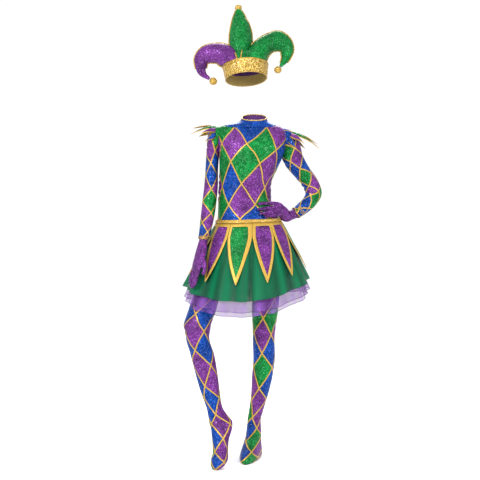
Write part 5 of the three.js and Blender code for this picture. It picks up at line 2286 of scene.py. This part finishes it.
@dataclass
class Studio:
    """The camera, the pale floor and the soft lights."""

    eye: tuple[float, float, float] = (-0.05, -4.5, -0.25)
    lens: float = 78.5
    shift: float = -0.1098
    floor: float = -1.4003
    half_floor: float = 14.0
    pale: float = 0.97
    room: float = 1.04

    def build(self) -> None:
        """Sets up the studio."""
        data = bpy.data.cameras.new("camera")
        data.lens = self.lens
        data.sensor_width = 36
        data.shift_y = self.shift
        data.clip_end = 60
        camera = add_object("camera", data)
        camera.location = self.eye
        camera.rotation_euler = (math.pi / 2, 0, 0)
        bpy.context.scene.camera = camera
        bpy.context.scene.view_settings.view_transform = "Standard"
        self.stand()
        self.lights()

    def stand(self) -> None:
        """Lays the floor."""
        mesh = bpy.data.meshes.new("floor")
        ways = ((-1, -1), (1, -1), (1, 1), (-1, 1))
        corners = [(x * self.half_floor, y * self.half_floor, self.floor) for x, y in ways]
        mesh.from_pydata(corners, [], [(0, 1, 2, 3)])
        pale = bpy.data.materials.new("pale_floor")
        pale.use_nodes = True
        Shader(pale.node_tree).surface((self.pale, self.pale, self.pale), 1.0)
        mesh.materials.append(pale)
        add_object("floor", mesh)

    def lights(self) -> None:
        """Hangs three soft lamps in a bright room."""
        world = bpy.data.worlds.new("room")
        world.use_nodes = True
        walls = world.node_tree.nodes["Background"]
        walls.inputs[0].default_value = (1, 1, 1, 1)
        walls.inputs[1].default_value = self.room
        bpy.context.scene.world = world
        lamps = table(
            "x y z size power",
            (-1.7, -3.0, 1.3, 1.0, 120),
            (2.1, -2.4, 0.5, 1.0, 40),
            (0.2, 2.4, 1.6, 1.6, 90),
        )
        for i, lamp in enumerate(lamps):
            data = bpy.data.lights.new(f"lamp_{i}", "AREA")
            data.energy = lamp["power"]
            data.size = lamp["size"]
            hung = add_object(f"lamp_{i}", data)
            hung.location = (lamp["x"], lamp["y"], lamp["z"])
            aim = Vector((0, 0, -0.4)) - hung.location
            hung.rotation_euler = aim.to_track_quat("-Z", "Y").to_euler()


RIGHT_SLEEVE_FOLDS = table(
    FOLD,
    (92, -70, 40, 1.6, 6, 0.5),
    (236, 20, 34, 2.0, 6, 0.35),
    (258, -30, 38, 2.4, 6, -0.25),
    (276, 35, 34, 2.0, 6, 0.15),
    (250, 170, 36, 1.6, 7, 0.1),
    (300, 150, 30, 1.4, 6, -0.3),
    (352, 40, 30, 1.5, 5, 0.3),
    (404, -20, 30, 1.8, 5, -0.1),
    (432, 10, 32, 1.9, 5, 0.1),
    (456, -40, 30, 1.6, 4.5, 0.05),
    (444, 170, 30, 1.6, 5, -0.1),
)
LEFT_SLEEVE_FOLDS = table(
    FOLD,
    (96, -40, 44, 2.2, 7, 0.4),
    (132, -60, 40, 1.8, 6, 0.3),
    (230, -80, 40, 1.9, 10, 0.1),
    (260, -70, 42, 2.1, 9, -0.05),
    (290, -85, 40, 1.8, 9, 0.05),
    (270, 175, 36, 2.0, 7, 0.2),
    (352, -20, 32, 1.8, 6, 0.2),
    (378, 10, 30, 1.8, 5, -0.1),
    (398, -10, 30, 1.7, 5, 0.1),
    (376, 180, 30, 1.5, 5, 0.1),
)
RIGHT_LEG_FOLDS = table(
    FOLD,
    (330, -40, 60, 1.6, 10, 0.3),
    (352, 60, 48, 1.6, 9, -0.3),
    (402, -60, 52, 2.0, 8, 0.3),
    (428, 170, 54, 3.2, 8, 0.1),
    (446, 165, 56, 3.4, 7, -0.1),
    (396, 178, 50, 2.4, 8, 0.2),
    (468, 50, 44, 1.6, 7, -0.25),
    (700, 20, 36, 1.6, 6, 0.2),
    (722, -30, 36, 2.0, 6, -0.1),
    (742, 30, 38, 2.2, 5, 0.1),
    (764, -20, 40, 2.4, 5, 0.15),
    (786, 60, 36, 2.0, 5, -0.2),
    (748, 175, 34, 2.0, 6, 0.1),
    (772, 170, 34, 2.2, 6, -0.1),
    (812, -60, 34, 1.6, 6, 0.3),
    (856, 20, 30, 1.2, 6, 0.1),
)
LEFT_LEG_FOLDS = table(
    FOLD,
    (322, 40, 56, 1.5, 10, -0.2),
    (362, -50, 50, 1.6, 9, 0.25),
    (394, 60, 48, 1.7, 8, -0.25),
    (432, 172, 54, 3.0, 8, 0.1),
    (452, 178, 56, 3.2, 7, -0.1),
    (410, 176, 48, 2.2, 8, -0.15),
    (470, -40, 42, 1.5, 7, 0.2),
    (752, 20, 30, 1.6, 6, 0.2),
    (774, -20, 30, 2.0, 5, -0.1),
    (792, 20, 32, 2.3, 5, 0.1),
    (810, 0, 34, 2.4, 5, 0.05),
    (830, 30, 34, 1.8, 5, -0.1),
    (786, 175, 30, 2.2, 6, 0.1),
    (806, 170, 30, 2.4, 6, -0.1),
    (862, 60, 40, 1.3, 5, 0.1),
)


def main() -> None:
    """Builds the studio and every piece."""
    logging.basicConfig(level=logging.INFO, format="%(name)s: %(message)s")
    Studio().build()
    Bodice().build()
    Sleeve(
        "right",
        arm_right,
        ARM_RIGHT_LATTICE,
        Cuff((-153, -96, 926), (0, 0.3, 1), (1, 0, 0), 0.55),
        RIGHT_SLEEVE_FOLDS,
        Cut(0.25, 0.5, 0.1, "stretched", ("bodice",)),
        lattice_from=10,
    ).build()
    Sleeve(
        "left",
        arm_left,
        ARM_LEFT_LATTICE,
        Cuff((233, 10, 1034), (0.82, 0.35, 0.5), (-0.5, 0, 0.82), 0.5),
        LEFT_SLEEVE_FOLDS,
        Cut(0.27, 0.45, 0.095, "stretched", ("bodice",)),
        swirl=(0.0, 42.0),
    ).build()
    Leaves("right", LEAVES_RIGHT, (-104, 0, 1362), (-1, 0, 0), 44).build()
    Leaves("left", LEAVES_LEFT, (202, 2, 1342), (0.91, 0, -0.41), 46).build()
    cut_right = Cut(0.5, 1.2, 0.37, "stretched", ("bodice",))
    cut_left = Cut(0.5, 1.2, 0.38, "stretched", ("bodice",))
    Leg("right", leg_right, LEG_RIGHT_LATTICE, RIGHT_LEG_FOLDS, cut_right, -1).build()
    Leg("left", leg_left, LEG_LEFT_LATTICE, LEFT_LEG_FOLDS, cut_left, 1).build()
    Glove("right", PALM_RIGHT, FINGERS_RIGHT, (-150, -90, 950), (0, 0.3, -1)).build()
    Glove("left", PALM_LEFT, FINGERS_LEFT, (256, 18, 1050), (-0.9, -0.35, -0.3)).build()
    Skirt().build()
    Hat().build()


if __name__ == "__main__":
    main()
